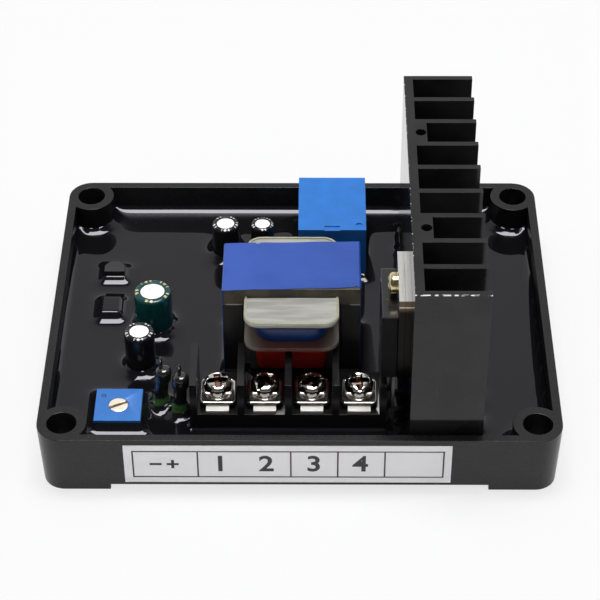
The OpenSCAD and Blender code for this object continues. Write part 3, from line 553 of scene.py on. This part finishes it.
def trimmer_finish():
    """Blue plastic with a small dark ring in the far left corner of its top, painted as the shade of a
    round hollow.
    """
    lo, hi = node_box("trimmer_body")
    colour = (0.026, 0.185, 0.60)
    finish = moulded("trimmer_plastic", colour, rough=(0.3, 0.42), depth=0.006)
    x, y = finish.axis("X") - (lo[0] + 1.6), finish.axis("Y") - (hi[1] - 2.1)
    square = x * x + y * y
    away = square.maths("SQRT", square)
    # Painted shade: a dark ring for the wall of a small round hollow, which has no form.
    hollow_shade_ring = away.band(0.4, 0.08, 0.08)
    cloud = finish.noise(0.25, 2.0).above(0.35, 0.65)
    blue = finish.mix(cloud, colour, tint(colour, 1.1))
    finish.set("Base Color", finish.mix(hollow_shade_ring, blue, (0.006, 0.03, 0.11)))
    return finish


def label_finish():
    """White printed film: faint clouds and a low sheen."""
    finish = Finish("label_film", (0.92, 0.91, 0.93), IOR=1.45)
    cloud = finish.noise(0.2, 3.0)
    finish.set("Base Color", finish.mix(cloud, (0.90, 0.89, 0.91), (0.95, 0.94, 0.96)))
    finish.set("Roughness", 0.38 + cloud * 0.15)
    finish.bump(finish.noise(2.0, 2.0), 0.006)
    return finish


# Pieces that are shaped here, in millimetres


def stacked(loops):
    """A surface through closed loops of (x, y, z) points of equal count, each one joined to the next."""
    return grid(np.stack(loops), wrap=True)


def at_height(loop, z):
    """A plan loop lifted to one height."""
    return np.column_stack([loop, np.full(len(loop), float(z))])


def smooth_step(value, low, high):
    """0 below low, 1 above high, and 3t^2 - 2t^3 between."""
    t = np.clip((value - low) / (high - low), 0, 1)
    return t * t * (3 - 2 * t)


def strip(lo, hi):
    """A plain box between two corners."""
    x, y, z = zip(lo, hi)
    corners = np.array([(x[i], y[j], z[k]) for k in (0, 1) for j in (0, 1) for i in (0, 1)], float)
    sides = np.array([(0, 2, 3, 1), (4, 5, 7, 6), (0, 1, 5, 4), (2, 6, 7, 3), (0, 4, 6, 2), (1, 3, 7, 5)])
    return corners, sides


def box_gap(x, y, lo, hi):
    """Distance in plan from a rectangle, zero inside it."""
    across = np.maximum(np.maximum(lo[0] - x, x - hi[0]), 0)
    along = np.maximum(np.maximum(lo[1] - y, y - hi[1]), 0)
    return np.hypot(across, along)


def boss_gap(x, y):
    """Distance in plan from the nearest hole's centre."""
    return np.hypot(np.abs(x) - HOLE_X, np.abs(y) - HOLE_Y)


def resin_climbs(x, y, wall):
    """Height in plan of the resin's creep up the walls, the bosses and each part that stands in it:
    the climb at the foot times exp(-distance / creep)."""
    sunk, proud = solid_boxes("transistor_bodies", 1)
    gaps = [(np.minimum(wall[0] - np.abs(x), wall[1] - np.abs(y)), MENISCUS),
            (boss_gap(x, y) - BOSS_R, MENISCUS),
            (box_gap(x, y, *node_box("terminal_block")), BLOCK_CLIMB),
            (box_gap(x, y, *node_box("trimmer_body")), TRIMMER_CLIMB),
            (box_gap(x, y, *node_box("relay_case")), MENISCUS),
            (box_gap(x, y, *node_box("core_e_stack")), MENISCUS),
            (box_gap(x, y, *proud), MENISCUS),
            (box_gap(x, y, sunk[0] - COAT_REACH, sunk[1] + COAT_REACH), COAT_TOP - wall[2])]
    lo, hi = node_box("heat_sink")
    gaps.append((box_gap(x, y, lo, (lo[0] + SINK_BASE, hi[1])), MENISCUS))
    gaps += [(box_gap(x, y, (lo[0], fin), (hi[0], fin + FIN_T)), MENISCUS)
             for fin in np.linspace(lo[1], hi[1] - FIN_T, FIN_COUNT)]
    round_parts = [node_box(name + "_sleeve") for name in CAPACITORS]
    round_parts += solid_boxes("standing_resistors", 0)
    for lo, hi in round_parts:
        middle = (lo + hi) / 2
        gaps.append((np.hypot(x - middle[0], y - middle[1]) - (hi[0] - lo[0]) / 2, MENISCUS))
    return [climb * np.exp(-np.maximum(gap, 0) / CREEP) for gap, climb in gaps]


def solid_boxes(node, axis):
    """Boxes, in millimetres, of the two solids of a node, told apart at the widest gap along an axis."""
    mesh = nodes[node].data
    points = np.empty(len(mesh.vertices) * 3, np.float32)
    mesh.vertices.foreach_get("co", points)
    points = points.reshape(-1, 3) / MM
    order = np.sort(points[:, axis])
    split = np.argmax(np.diff(order))
    edge = (order[split] + order[split + 1]) / 2
    near = points[:, axis] < edge
    return [(points[part].min(0), points[part].max(0)) for part in (near, ~near)]


def resin_surface():
    """The resin's top is its level plus the cube root of the sum of all climbs cubed; a flat base and
    upright sides close it, and the mounting bosses are left out."""
    lo, hi = node_box("potting")
    x, y = np.meshgrid(np.linspace(lo[0], hi[0], 243), np.linspace(lo[1], hi[1], 193))
    top = hi[2] + sum(climb ** BLEND for climb in resin_climbs(x, y, hi)) ** (1 / BLEND)
    rows, columns = x.shape
    index = np.arange(rows * columns).reshape(rows, columns)
    middle_x = (x[:-1, :-1] + x[1:, 1:]) / 2
    middle_y = (y[:-1, :-1] + y[1:, 1:]) / 2
    keep = boss_gap(middle_x, middle_y) > BOSS_BITE
    cells = np.stack([index[:-1, :-1], index[:-1, 1:], index[1:, 1:], index[1:, :-1]], axis=-1)[keep]
    below = rows * columns
    quads = [cells, cells[:, ::-1] + below]
    padded = np.pad(keep, 1)
    for step, first, second in (((-1, 0), (0, 0), (0, 1)), ((1, 0), (1, 1), (1, 0)),
                                ((0, -1), (1, 0), (0, 0)), ((0, 1), (0, 1), (1, 1))):
        beside = padded[1 + step[0]:rows + step[0], 1 + step[1]:columns + step[1]]
        row, column = np.nonzero(keep & ~beside)
        a = index[row + first[0], column + first[1]]
        b = index[row + second[0], column + second[1]]
        quads.append(np.stack([b, a, a + below, b + below], axis=-1))
    upper = np.stack([x, y, top], axis=-1).reshape(-1, 3)
    lower = np.stack([x, y, np.full_like(x, lo[2])], axis=-1).reshape(-1, 3)
    return np.concatenate([upper, lower]), np.concatenate(quads)


def capacitor_sleeve(name, shade):
    """The sleeve's section, a tube with a round shoulder and a rolled lip, carried round its axis."""
    lo, hi = node_box(name + "_sleeve")
    middle = (lo + hi) / 2
    r = (hi[0] - lo[0]) / 2
    lip = r * 0.64
    section = rounded([(r - 0.16, lo[2]), (r, lo[2]), (r, hi[2]), (lip, hi[2] - 0.04), (lip, hi[2] - 0.3),
                       (r - 0.16, hi[2] - 0.3), (r - 0.16, lo[2])], (0.03, 0.75, 0.1, 0.04, 0.05))
    piece(name + "_shrunk_sleeve", [revolved(section, middle)], shade, (name + "_sleeve",))


def capacitor_can(name):
    """The can's section carried round its axis; its top sinks along two crossed score lines by
    depth times exp(-(distance / width)^2) and rises a little to the middle."""
    lo, hi = node_box(name + "_can")
    middle = (lo + hi) / 2
    r = (hi[0] - lo[0]) / 2
    top = hi[2] - 0.12
    spread = np.linspace(0, r - 0.3, 26)
    section = np.concatenate([np.column_stack([spread, np.full(26, top)]),
                              [(r, top - 0.2), (r, lo[2]), (0, lo[2])]])
    vertices, quads = revolved(section, middle, sides=96)
    x, y = vertices[:, 0] - middle[0], vertices[:, 1] - middle[1]
    flat = vertices[:, 2] > top - 0.01
    turned = np.radians(40)
    along = x * np.cos(turned) + y * np.sin(turned)
    across = y * np.cos(turned) - x * np.sin(turned)
    reach = 1 - smooth_step(np.hypot(x, y), r * 0.58, r * 0.64)
    scores = np.maximum(np.exp(-(across / 0.13) ** 2), np.exp(-(along / 0.13) ** 2))
    swell = 0.08 * (1 - (np.hypot(x, y) / r) ** 2)
    vertices[:, 2] += np.where(flat, swell - 0.13 * scores * reach, 0)
    piece(name + "_scored_can", [(vertices, quads)], aluminium, (name + "_can",))


def screw_surface(r, head_h, side, shank_r, shank_l, slot, cross, turn, sides=176):
    """A pan head over a polar grid: a flat dome, its edge a root of 1 - (distance / radius)^4, less a
    slot and a cross whose walls follow a smooth step; then the head's side with a groove over its lock
    ring, its underside and the shank. The head's seat is z = 0."""
    inner = np.linspace(0, r - 0.02, 64)
    dome = side + (head_h - side) * (1 - (inner / r) ** 4) ** 0.5
    ring = side * 0.36
    rim = rounded([(inner[-1], dome[-1]), (r, side), (r, ring + 0.2), (r - 0.22, ring + 0.1), (r, ring),
                   (r, 0), (shank_r, 0), (shank_r, -shank_l), (0, -shank_l)],
                  (0.01, 0.05, 0.04, 0.05, 0.08, 0.05, 0.15), 4)
    section = np.concatenate([np.column_stack([inner, dome]), rim[1:]])
    vertices, quads = revolved(section, (0, 0), sides)
    distance = np.hypot(vertices[:, 0], vertices[:, 1])
    on_dome = (vertices[:, 2] > side - 0.01) & (distance < r - 0.1)
    cut = np.zeros(len(vertices))
    for angle, width, reach, depth in ((0, slot[0], 2 * r, slot[1]), (0, cross[0], cross[1], cross[2]),
                                       (90, cross[0], cross[1], cross[2])):
        a = np.radians(turn + angle)
        along = np.abs(vertices[:, 0] * np.cos(a) + vertices[:, 1] * np.sin(a))
        across = np.abs(vertices[:, 1] * np.cos(a) - vertices[:, 0] * np.sin(a))
        wall = 1 - smooth_step(across, width / 2 - 0.06, width / 2 + 0.08)
        taper = 1 - smooth_step(along, reach * 0.45, reach)
        cut = np.maximum(cut, depth * wall * taper)
    vertices[:, 2] -= np.where(on_dome, cut, 0)
    return vertices, quads


def terminal_screw(number):
    """The pan head form of screw_surface with a slot and a cross, set on its washer."""
    node = f"terminal_screw_{number}"
    lo, hi = node_box(node)
    middle = (lo + hi) / 2
    r = (hi[0] - lo[0]) / 2
    vertices, quads = screw_surface(r, HEAD, HEAD * 0.72, 1.65, hi[2] - lo[2] - HEAD, (0.8, 0.95),
                                    (1.25, 2.2, 1.9), SCREW_TURNS[number - 1])
    place = np.array([middle[0], middle[1], hi[2] - HEAD])
    piece(f"pan_head_{number}", [(vertices + place, quads)], head_finish(number), (node,),
          f"screw_{number}", 35)


def clamp_washer(number):
    """Loops of a rounded square, from its edge in to a round hole: a turned-up rim, a dish and a flat
    base."""
    lo, hi = node_box(f"clamp_washer_{number}")
    middle = ((lo + hi) / 2)[:2]
    hole_r = 2.0
    base, top = lo[2], hi[2]

    def loop(share, inset):
        outer = plan_loop(lo[:2] + inset, hi[:2] - inset, 1.0 - inset / 2, 10) - middle
        angle = np.arctan2(outer[:, 1], outer[:, 0])
        inner = hole_r * np.column_stack([np.cos(angle), np.sin(angle)])
        return middle + outer * (1 - share) + inner * share

    rows = ((0, 0.1, base), (0, 0, base + 0.1), (0, 0, top - 0.12), (0, 0.1, top), (0, 0.32, top),
            (0, 0.42, top - 0.05), (0.5, 0.5, top - 0.3), (1, 0.5, top - 0.55), (1, 0.5, base),
            (0, 0.1, base))
    loops = [at_height(loop(share, inset), z) for share, inset, z in rows]
    piece(f"dished_washer_{number}", [stacked(loops)], washer_nickel, (f"clamp_washer_{number}",),
          f"washer_{number}", 50)


def rotor_surface():
    """A flat button over a polar grid with one sunk slot."""
    lo, hi = node_box("trimmer_rotor")
    middle = (lo + hi) / 2
    r = (hi[0] - lo[0]) / 2
    spread = np.linspace(0, r - 0.12, 40)
    section = np.concatenate([np.column_stack([spread, np.full(40, hi[2])]),
                              [(r - 0.03, hi[2] - 0.05), (r, hi[2] - 0.15), (r, lo[2]), (0, lo[2])]])
    vertices, quads = revolved(section, middle, sides=160)
    a = math.radians(26)
    x, y = vertices[:, 0] - middle[0], vertices[:, 1] - middle[1]
    across = np.abs(y * math.cos(a) - x * math.sin(a))
    cut = 0.6 * (1 - smooth_step(across, 0.26, 0.36))
    vertices[:, 2] -= np.where(vertices[:, 2] > hi[2] - 0.2, cut, 0)
    return vertices, quads


def winding_surface(node, corner, bulge, layers):
    """Loops round the bobbin: the outside swells by bulge times 1 - (2t - 1)^2 and by a small
    ripple for each layer; the inside is a straight-sided hole."""
    lo, hi = node_box(node)
    side_t, back_t, hole_d = 2.1, 2.2, 17.15
    hole_lo = np.array([lo[0] + side_t, hi[1] - back_t - hole_d])
    hole_hi = np.array([hi[0] - side_t, hi[1] - back_t])
    loops = []
    for t in np.linspace(0, 1, 25):
        swell = bulge * (1 - (2 * t - 1) ** 2) + 0.03 * math.sin(math.pi * layers * t) ** 2 - bulge
        loop = plan_loop(lo[:2] - swell, hi[:2] + swell, corner, 10)
        loops.append(at_height(loop, lo[2] + (hi[2] - lo[2]) * t))
    for z in (hi[2], lo[2]):
        loops.append(at_height(plan_loop(hole_lo, hole_hi, 0.3, 10), z))
    loops.append(loops[0])
    return stacked(loops)


def tape_surface():
    """A band round the core's section: loops in X and Z at the front and back edge, whose place
    along Y drifts from left to right, waves a little and has two small nicks."""
    lo, hi = node_box("core_tape")
    thick = 0.12
    outer = plan_loop(lo[[0, 2]] - 0.03, hi[[0, 2]] + 0.03, 0.5, 12)
    step = np.roll(outer, -1, axis=0) - outer
    count = np.maximum(1, (np.linalg.norm(step, axis=1) / 0.4).astype(int))
    start = np.repeat(np.arange(len(outer)), count)
    share = (np.arange(count.sum()) - np.repeat(np.cumsum(count) - count, count)) / count[start]
    outer = outer[start] + step[start] * share[:, None]
    middle = (outer.min(0) + outer.max(0)) / 2
    half = (outer.max(0) - outer.min(0)) / 2
    inner = middle + (outer - middle) * (1 - thick / half)
    across = (outer[:, 0] - middle[0]) / half[0]
    front = lo[1] + 0.05 + 0.5 * across + 0.05 * np.sin(across * 9) + 0.03 * np.sin(across * 23 + 1)
    back = hi[1] + 0.3 + 0.35 * across - 0.06 * np.sin(across * 7 + 2)
    front = front + 0.45 * np.exp(-((across - 0.93) / 0.03) ** 2)
    back = back - 0.5 * np.exp(-((across + 0.5) / 0.025) ** 2)
    rows = ((outer, front), (outer, back), (inner, back), (inner, front), (outer, front))
    return stacked([np.column_stack([loop[:, 0], y, loop[:, 1]]) for loop, y in rows])


def flange_lips():
    """A low border, a square section that follows the flange's outline, in front of and behind the
    core."""
    lo, hi = node_box("bobbin")
    core_lo, core_hi = node_box("core_i_stack")
    base, tall = hi[2] - 0.1, hi[2] + 0.22
    steps = 9
    front, back = slice(2 * steps, None), slice(2 * steps)
    surfaces = []
    for part, limit in ((front, core_lo[1]), (back, core_hi[1])):
        rows = []
        for inset, z in ((0.12, base), (0.12, tall), (0.55, tall), (0.55, base)):
            arcs = plan_loop(lo[:2] + inset, hi[:2] - inset, 3.2 - inset, steps)[part]
            ends = np.array([[arcs[0, 0], limit], [arcs[-1, 0], limit]])
            rows.append(at_height(np.concatenate([ends[:1], arcs, ends[1:]]), z))
        rows.append(rows[0])
        vertices, quads = grid(np.stack(rows))
        count = len(rows[0])
        first_cap = np.arange(4) * count
        last_cap = (first_cap + count - 1)[[0, 3, 2, 1]]
        surfaces.append((vertices, np.concatenate([quads, [first_cap, last_cap]])))
    return surfaces


def standing_resistor_surfaces():
    """A dog-bone section with round ends and a waist, carried round each axis, which leans to the right
    by a share of the height."""
    surfaces = []
    for (lo, hi), (foot, lean) in zip(solid_boxes("standing_resistors", 0), RESISTOR_LEANS):
        middle = (lo + hi) / 2
        r = (hi[0] - lo[0]) / 2
        low, high = lo[2], hi[2]
        waist = r - 0.35
        section = rounded([(0, low), (r, low), (r, low + 3.0), (waist, low + 3.6), (waist, high - 3.6),
                           (r, high - 3.0), (r, high), (0, high)], (1.1, 0.8, 0.8, 0.8, 0.8, 1.1), 7)
        vertices, quads = revolved(section, middle, 48)
        vertices[:, 0] += foot + lean * (vertices[:, 2] - low) / (high - low)
        surfaces.append((vertices, quads))
    return surfaces


def device_screw_surface():
    """The same pan head form, laid along X with its dome to the left."""
    lo, hi = node_box("device_screw")
    middle = (lo + hi) / 2
    r = (hi[1] - lo[1]) / 2
    head_h = 2.0
    seat = lo[0] + head_h
    vertices, quads = screw_surface(r, head_h, 0.9, 1.25, hi[0] - seat, (0.1, 0.0), (0.7, 1.5, 1.0), 20)
    x, y, z = vertices.T
    return np.column_stack([seat - z, middle[1] + y, middle[2] + x]), quads


def label_print():
    """Flat bars of a frame with cell walls, on the leaning front of the label."""
    lo, hi = node_box("label")
    proud, deep = 0.012, 0.03

    def bar(x0, x1, z0, z1):
        vertices, quads = strip((x0, -proud, z0), (x1, deep, z1))
        vertices[:, 1] += lo[1] + (hi[2] - vertices[:, 2]) * DRAFT
        return vertices, quads

    left, right, low, high, line = -33.4, 28.9, 3.75, 11.4, 0.32
    inner_low, inner_high = low + line, high - line
    frame_bars = [bar(left, right, low, inner_low), bar(left, right, inner_high, high)]
    uprights = (left, -20.45, -1.87, 7.51, 16.88, right - line)
    cell_walls = [bar(x, x + line, inner_low, inner_high) for x in uprights]
    minus = [bar(-29.9, -27.5, 7.3, 7.9)]
    plus = [bar(-26.5, -24.1, 7.3, 7.9), bar(-25.6, -25.0, 6.4, 8.8)]
    return frame_bars + cell_walls + minus + plus


def label_numbers(finish):
    """Way numbers in the cells under the terminals, laid on the label's face."""
    lo, hi = node_box("label")
    for text, x in (("1", -15.8), ("2", -6.6), ("3", 2.9), ("4", 12.2)):
        curve = bpy.data.curves.new("number", "FONT")
        curve.body = text
        curve.size = 6.2
        curve.offset = 0.13
        curve.align_x = "CENTER"
        curve.align_y = "CENTER"
        curve.extrude = 0.02
        holder = bpy.data.objects.new("number", curve)
        bpy.context.scene.collection.objects.link(holder)
        evaluated = holder.evaluated_get(bpy.context.evaluated_depsgraph_get())
        mesh = bpy.data.meshes.new_from_object(evaluated)
        bpy.data.objects.remove(holder)
        flat = np.empty(len(mesh.vertices) * 3, np.float32)
        mesh.vertices.foreach_get("co", flat)
        flat = flat.reshape(-1, 3).astype(float)
        z = flat[:, 1] + 7.55
        y = lo[1] + (hi[2] - z) * DRAFT - flat[:, 2] + 0.008
        placed = np.column_stack([flat[:, 0] + x, y, z]) * MM
        mesh.vertices.foreach_set("co", placed.astype(np.float32).ravel())
        mesh.update()
        shown(f"way_number_{text}", mesh, finish, (), "root")


# Finishes in use

case_black = moulded("case_plastic", (0.008, 0.008, 0.009), rough=(0.22, 0.36), depth=0.006, IOR=1.4)
block_black = moulded("terminal_plastic", (0.009, 0.009, 0.01), rough=(0.16, 0.24), depth=0.002, IOR=1.45)
compound = device_finish()
matt_compound = moulded("matt_compound", (0.010, 0.010, 0.011), rough=(0.4, 0.6), depth=0.02, per_mm=4.0)
relay_blue = moulded("relay_plastic", (0.014, 0.19, 0.66), rough=(0.24, 0.36), depth=0.006, vary=1.12)
trimmer_blue = trimmer_finish()
board_green = moulded("board_laminate", (0.02, 0.09, 0.03), rough=(0.3, 0.5), depth=0.01)
rubber = moulded("bung_rubber", (0.012, 0.012, 0.012), rough=(0.5, 0.7), depth=0.02)
ceramic = moulded("resistor_ceramic", (0.5, 0.36, 0.18), rough=(0.3, 0.5), depth=0.01)
amber = moulded("diode_glass", (0.35, 0.09, 0.02), rough=(0.08, 0.2), depth=0.004)
coated = moulded("coated_wire", (0.008, 0.008, 0.009), rough=(0.06, 0.14), depth=0.01, per_mm=1.0)
anodised = anodised_finish()
steel = lamination_finish()
washer_nickel = washer_finish()
contact_metal = plated("contact_plate", (0.80, 0.78, 0.75), rough=(0.38, 0.5), depth=0.002, stain=0.9)
tinned = plated("tinned_copper", (0.68, 0.66, 0.63), rough=(0.22, 0.4))
aluminium = plated("bare_aluminium", (0.88, 0.87, 0.88), rough=(0.45, 0.6), stain=0.92)
yellow_zinc = plated("yellow_zinc", (0.66, 0.56, 0.32), rough=(0.12, 0.26))
zinc = plated("zinc_steel", (0.62, 0.62, 0.62), rough=(0.2, 0.35))
brass = plated("rotor_brass", (0.88, 0.80, 0.66), rough=(0.3, 0.45), stain=0.9)
natural = bobbin_finish()
aged = moulded("aged_plastic", (0.40, 0.39, 0.27), rough=(0.2, 0.35), depth=0.01, vary=1.2)
core_blue = tape_finish("blue_tape", (0.016, 0.075, 0.40), (0.022, 0.09, 0.46))
coil_blue = tape_finish("upper_winding_tape", (0.002, 0.02, 0.11), (0.003, 0.028, 0.14))
coil_red = tape_finish("lower_winding_tape", (0.34, 0.012, 0.007), (0.42, 0.018, 0.01))
lacquer = resistor_finish()
film = label_finish()
ink = moulded("label_ink", (0.008, 0.008, 0.009), rough=(0.3, 0.4), depth=0.004)
resin = resin_finish()

# Moulded, extruded and stamped pieces keep their solids' form and get eased edges

eased("case", 0.4, case_black, segments=3)
eased("heat_sink", 0.12, anodised)
eased("terminal_block", 0.18, block_black)
eased("relay_case", 0.22, relay_blue)
eased("trimmer_body", 0.22, trimmer_blue)
eased("power_device_body", 0.3, compound)
eased("power_device_tab", 0.12, plate_finish("power_device_tab", (0.82, 0.79, 0.76)))
eased("spacer_plate", 0.12, plate_finish("spacer_plate", (0.86, 0.85, 0.83)))
eased("contact_plates", 0.1, contact_metal)
eased("core_e_stack", 0.12, steel)
eased("core_i_stack", 0.12, steel)
eased("bobbin", 0.2, natural)
eased("transistor_bodies", 0.12, matt_compound)

# Hidden pieces and the label's film show their solids

for plain_node, plain_finish in {
    "circuit_board": board_green, "heat_sink_screws": zinc, "power_device_leads": tinned,
    "transformer_pins": tinned, "relay_pins": tinned, "capacitor_bungs": rubber,
    "capacitor_leads": tinned, "trimmer_pins": tinned, "transistor_leads": tinned,
    "standing_resistor_leads": coated, "board_diodes": amber, "board_resistors": ceramic, "label": film,
}.items():
    dress(plain_node, plain_finish)

# Pieces with a form of their own stand for their solids

piece("resin_fill", [resin_surface()], resin, ("potting",), sharp_angle=28)
for capacitor in CAPACITORS:
    vinyl_green = capacitor.startswith("green")
    vinyl_colour = (0.004, 0.05, 0.05) if vinyl_green else (0.008, 0.008, 0.009)
    dash_colour = (0.70, 0.62, 0.30) if vinyl_green else (0.72, 0.72, 0.72)
    capacitor_sleeve(capacitor, sleeve_finish(capacitor, vinyl_colour, dash_colour))
    capacitor_can(capacitor)
for way in (1, 2, 3, 4):
    clamp_washer(way)
    terminal_screw(way)
piece("slotted_rotor", [rotor_surface()], brass, ("trimmer_rotor",), "rotor")
piece("upper_coil", [winding_surface("upper_winding", 3.6, 0.25, 6)], coil_blue, ("upper_winding",))
piece("lower_coil", [winding_surface("lower_winding", 1.6, 0.3, 12)], coil_red, ("lower_winding",))
piece("core_wrap", [tape_surface()], core_blue, ("core_tape",))
piece("flange_border", flange_lips(), aged)
piece("dog_bone_resistors", standing_resistor_surfaces(), lacquer, ("standing_resistors",))
piece("device_pan_head", [device_screw_surface()], yellow_zinc, ("device_screw",))
piece("label_lines", label_print(), ink)
label_numbers(ink)


# Studio: camera, floor, backdrop light and lamps

LENS = 127.32
SENSOR = 36.0
CAMERA_MM = (3.44, -342.64, 307.44)
AZIMUTH, ELEVATION, ROLL = (math.radians(a) for a in (0.6, 40.48, -0.29))


def make_camera():
    """A camera at the photograph's place: it looks against its back direction, with a small roll."""
    data = bpy.data.cameras.new("camera")
    data.lens = LENS
    data.sensor_width = SENSOR
    data.clip_start = 0.01
    data.clip_end = 20
    back = Vector((math.sin(AZIMUTH) * math.cos(ELEVATION),
                   -math.cos(AZIMUTH) * math.cos(ELEVATION), math.sin(ELEVATION)))
    right = Vector((0, 0, 1)).cross(back).normalized()
    up = back.cross(right)
    rolled_right = right * math.cos(ROLL) + up * math.sin(ROLL)
    rolled_up = up * math.cos(ROLL) - right * math.sin(ROLL)
    turn = Matrix((rolled_right, rolled_up, back)).transposed().to_4x4()
    camera = bpy.data.objects.new("camera", data)
    camera.matrix_world = Matrix.Translation(Vector(CAMERA_MM) * MM) @ turn
    bpy.context.scene.collection.objects.link(camera)
    bpy.context.scene.camera = camera


def make_floor():
    """A pale sheet under the feet that shows nearly white and keeps a soft shadow."""
    side = 1.5
    step = np.linspace(-side, side, 3)
    x, y = np.meshgrid(step, step)
    vertices, quads = grid(np.stack([x, y, np.full_like(x, -2e-5)], axis=-1))
    mesh = bpy.data.meshes.new("floor")
    mesh.from_pydata(vertices.tolist(), [], quads.tolist())
    finish = Finish("pale_floor", (0.9, 0.9, 0.9), Roughness=0.9)
    seen = finish.node("ShaderNodeLightPath", out="Is Camera Ray")
    mirrored = finish.node("ShaderNodeLightPath", out="Is Glossy Ray")
    path = seen.maths("MAXIMUM", seen, mirrored)
    glow = finish.node("ShaderNodeEmission", None, {"Color": (1, 1, 1), "Strength": 1.0})
    shader = Value(finish, finish.shader.outputs[0])
    both = finish.node("ShaderNodeMixShader", None, {0: path * 0.72, 1: shader, 2: glow})
    finish.tree.links.new(both.socket, finish.tree.nodes["Material Output"].inputs["Surface"])
    mesh.materials.append(finish.material)
    floor = bpy.data.objects.new("floor", mesh)
    bpy.context.scene.collection.objects.link(floor)


def make_world():
    """White for the camera; for reflections a white backdrop behind and darker room elsewhere."""
    world = bpy.data.worlds.new("studio")
    bpy.context.scene.world = world
    world.use_nodes = True
    tree = world.node_tree
    tree.nodes.clear()
    room = Shading(tree)
    direction = room.node("ShaderNodeTexCoord", out="Generated")
    to_back = room.node("ShaderNodeSeparateXYZ", None, {0: direction}, out="Y").above(-0.05, 0.3)
    height = room.node("ShaderNodeSeparateXYZ", None, {0: direction}, out="Z")
    backdrop = 1 - height.above(0.1, 0.5) * 0.34
    seen = 0.1 + to_back * (1 - height.above(0.78, 0.92)) * (backdrop - 0.1)
    camera_ray = room.node("ShaderNodeLightPath", out="Is Camera Ray")
    glossy_ray = room.node("ShaderNodeLightPath", out="Is Glossy Ray")
    clear_ray = room.node("ShaderNodeLightPath", out="Is Transmission Ray")
    mirrored = glossy_ray.maths("MAXIMUM", glossy_ray, clear_ray)
    plain = 0.42
    strength = plain + mirrored * (seen - plain)
    strength = strength.maths("MAXIMUM", strength, camera_ray)
    shine = room.node("ShaderNodeBackground", None, {"Color": (1, 1, 1), "Strength": strength})
    out = tree.nodes.new("ShaderNodeOutputWorld")
    tree.links.new(shine.socket, out.inputs["Surface"])


def make_lamp(name, place, target, size, watts, lit):
    """A rectangular soft box that faces its target and lights only gloss or only matt reflections."""
    data = bpy.data.lights.new(name, "AREA")
    data.shape = "RECTANGLE"
    data.size, data.size_y = size
    data.energy = watts
    lamp = bpy.data.objects.new(name, data)
    aim = Vector(target) - Vector(place)
    lamp.matrix_world = Matrix.Translation(place) @ aim.to_track_quat("-Z", "Y").to_matrix().to_4x4()
    lamp.visible_diffuse = lit != "gloss"
    lamp.visible_glossy = lit != "matt"
    bpy.context.scene.collection.objects.link(lamp)


make_camera()
make_floor()
make_world()
make_lamp("key", (0.0, 0.05, 0.75), (0, 0, 0), (0.36, 0.2), 3.4, "matt")
make_lamp("soft_box", (0.0, 0.05, 0.75), (0, 0.05, 0), (0.36, 0.44), 7.2, "gloss")
make_lamp("left_fill", (-0.8, -0.1, 0.6), (0, 0, 0.02), (0.3, 0.3), 0.35, "matt")
make_lamp("right_fill", (0.8, -0.1, 0.6), (0, 0, 0.02), (0.3, 0.3), 0.35, "matt")
bpy.context.scene.view_settings.view_transform = "Standard"
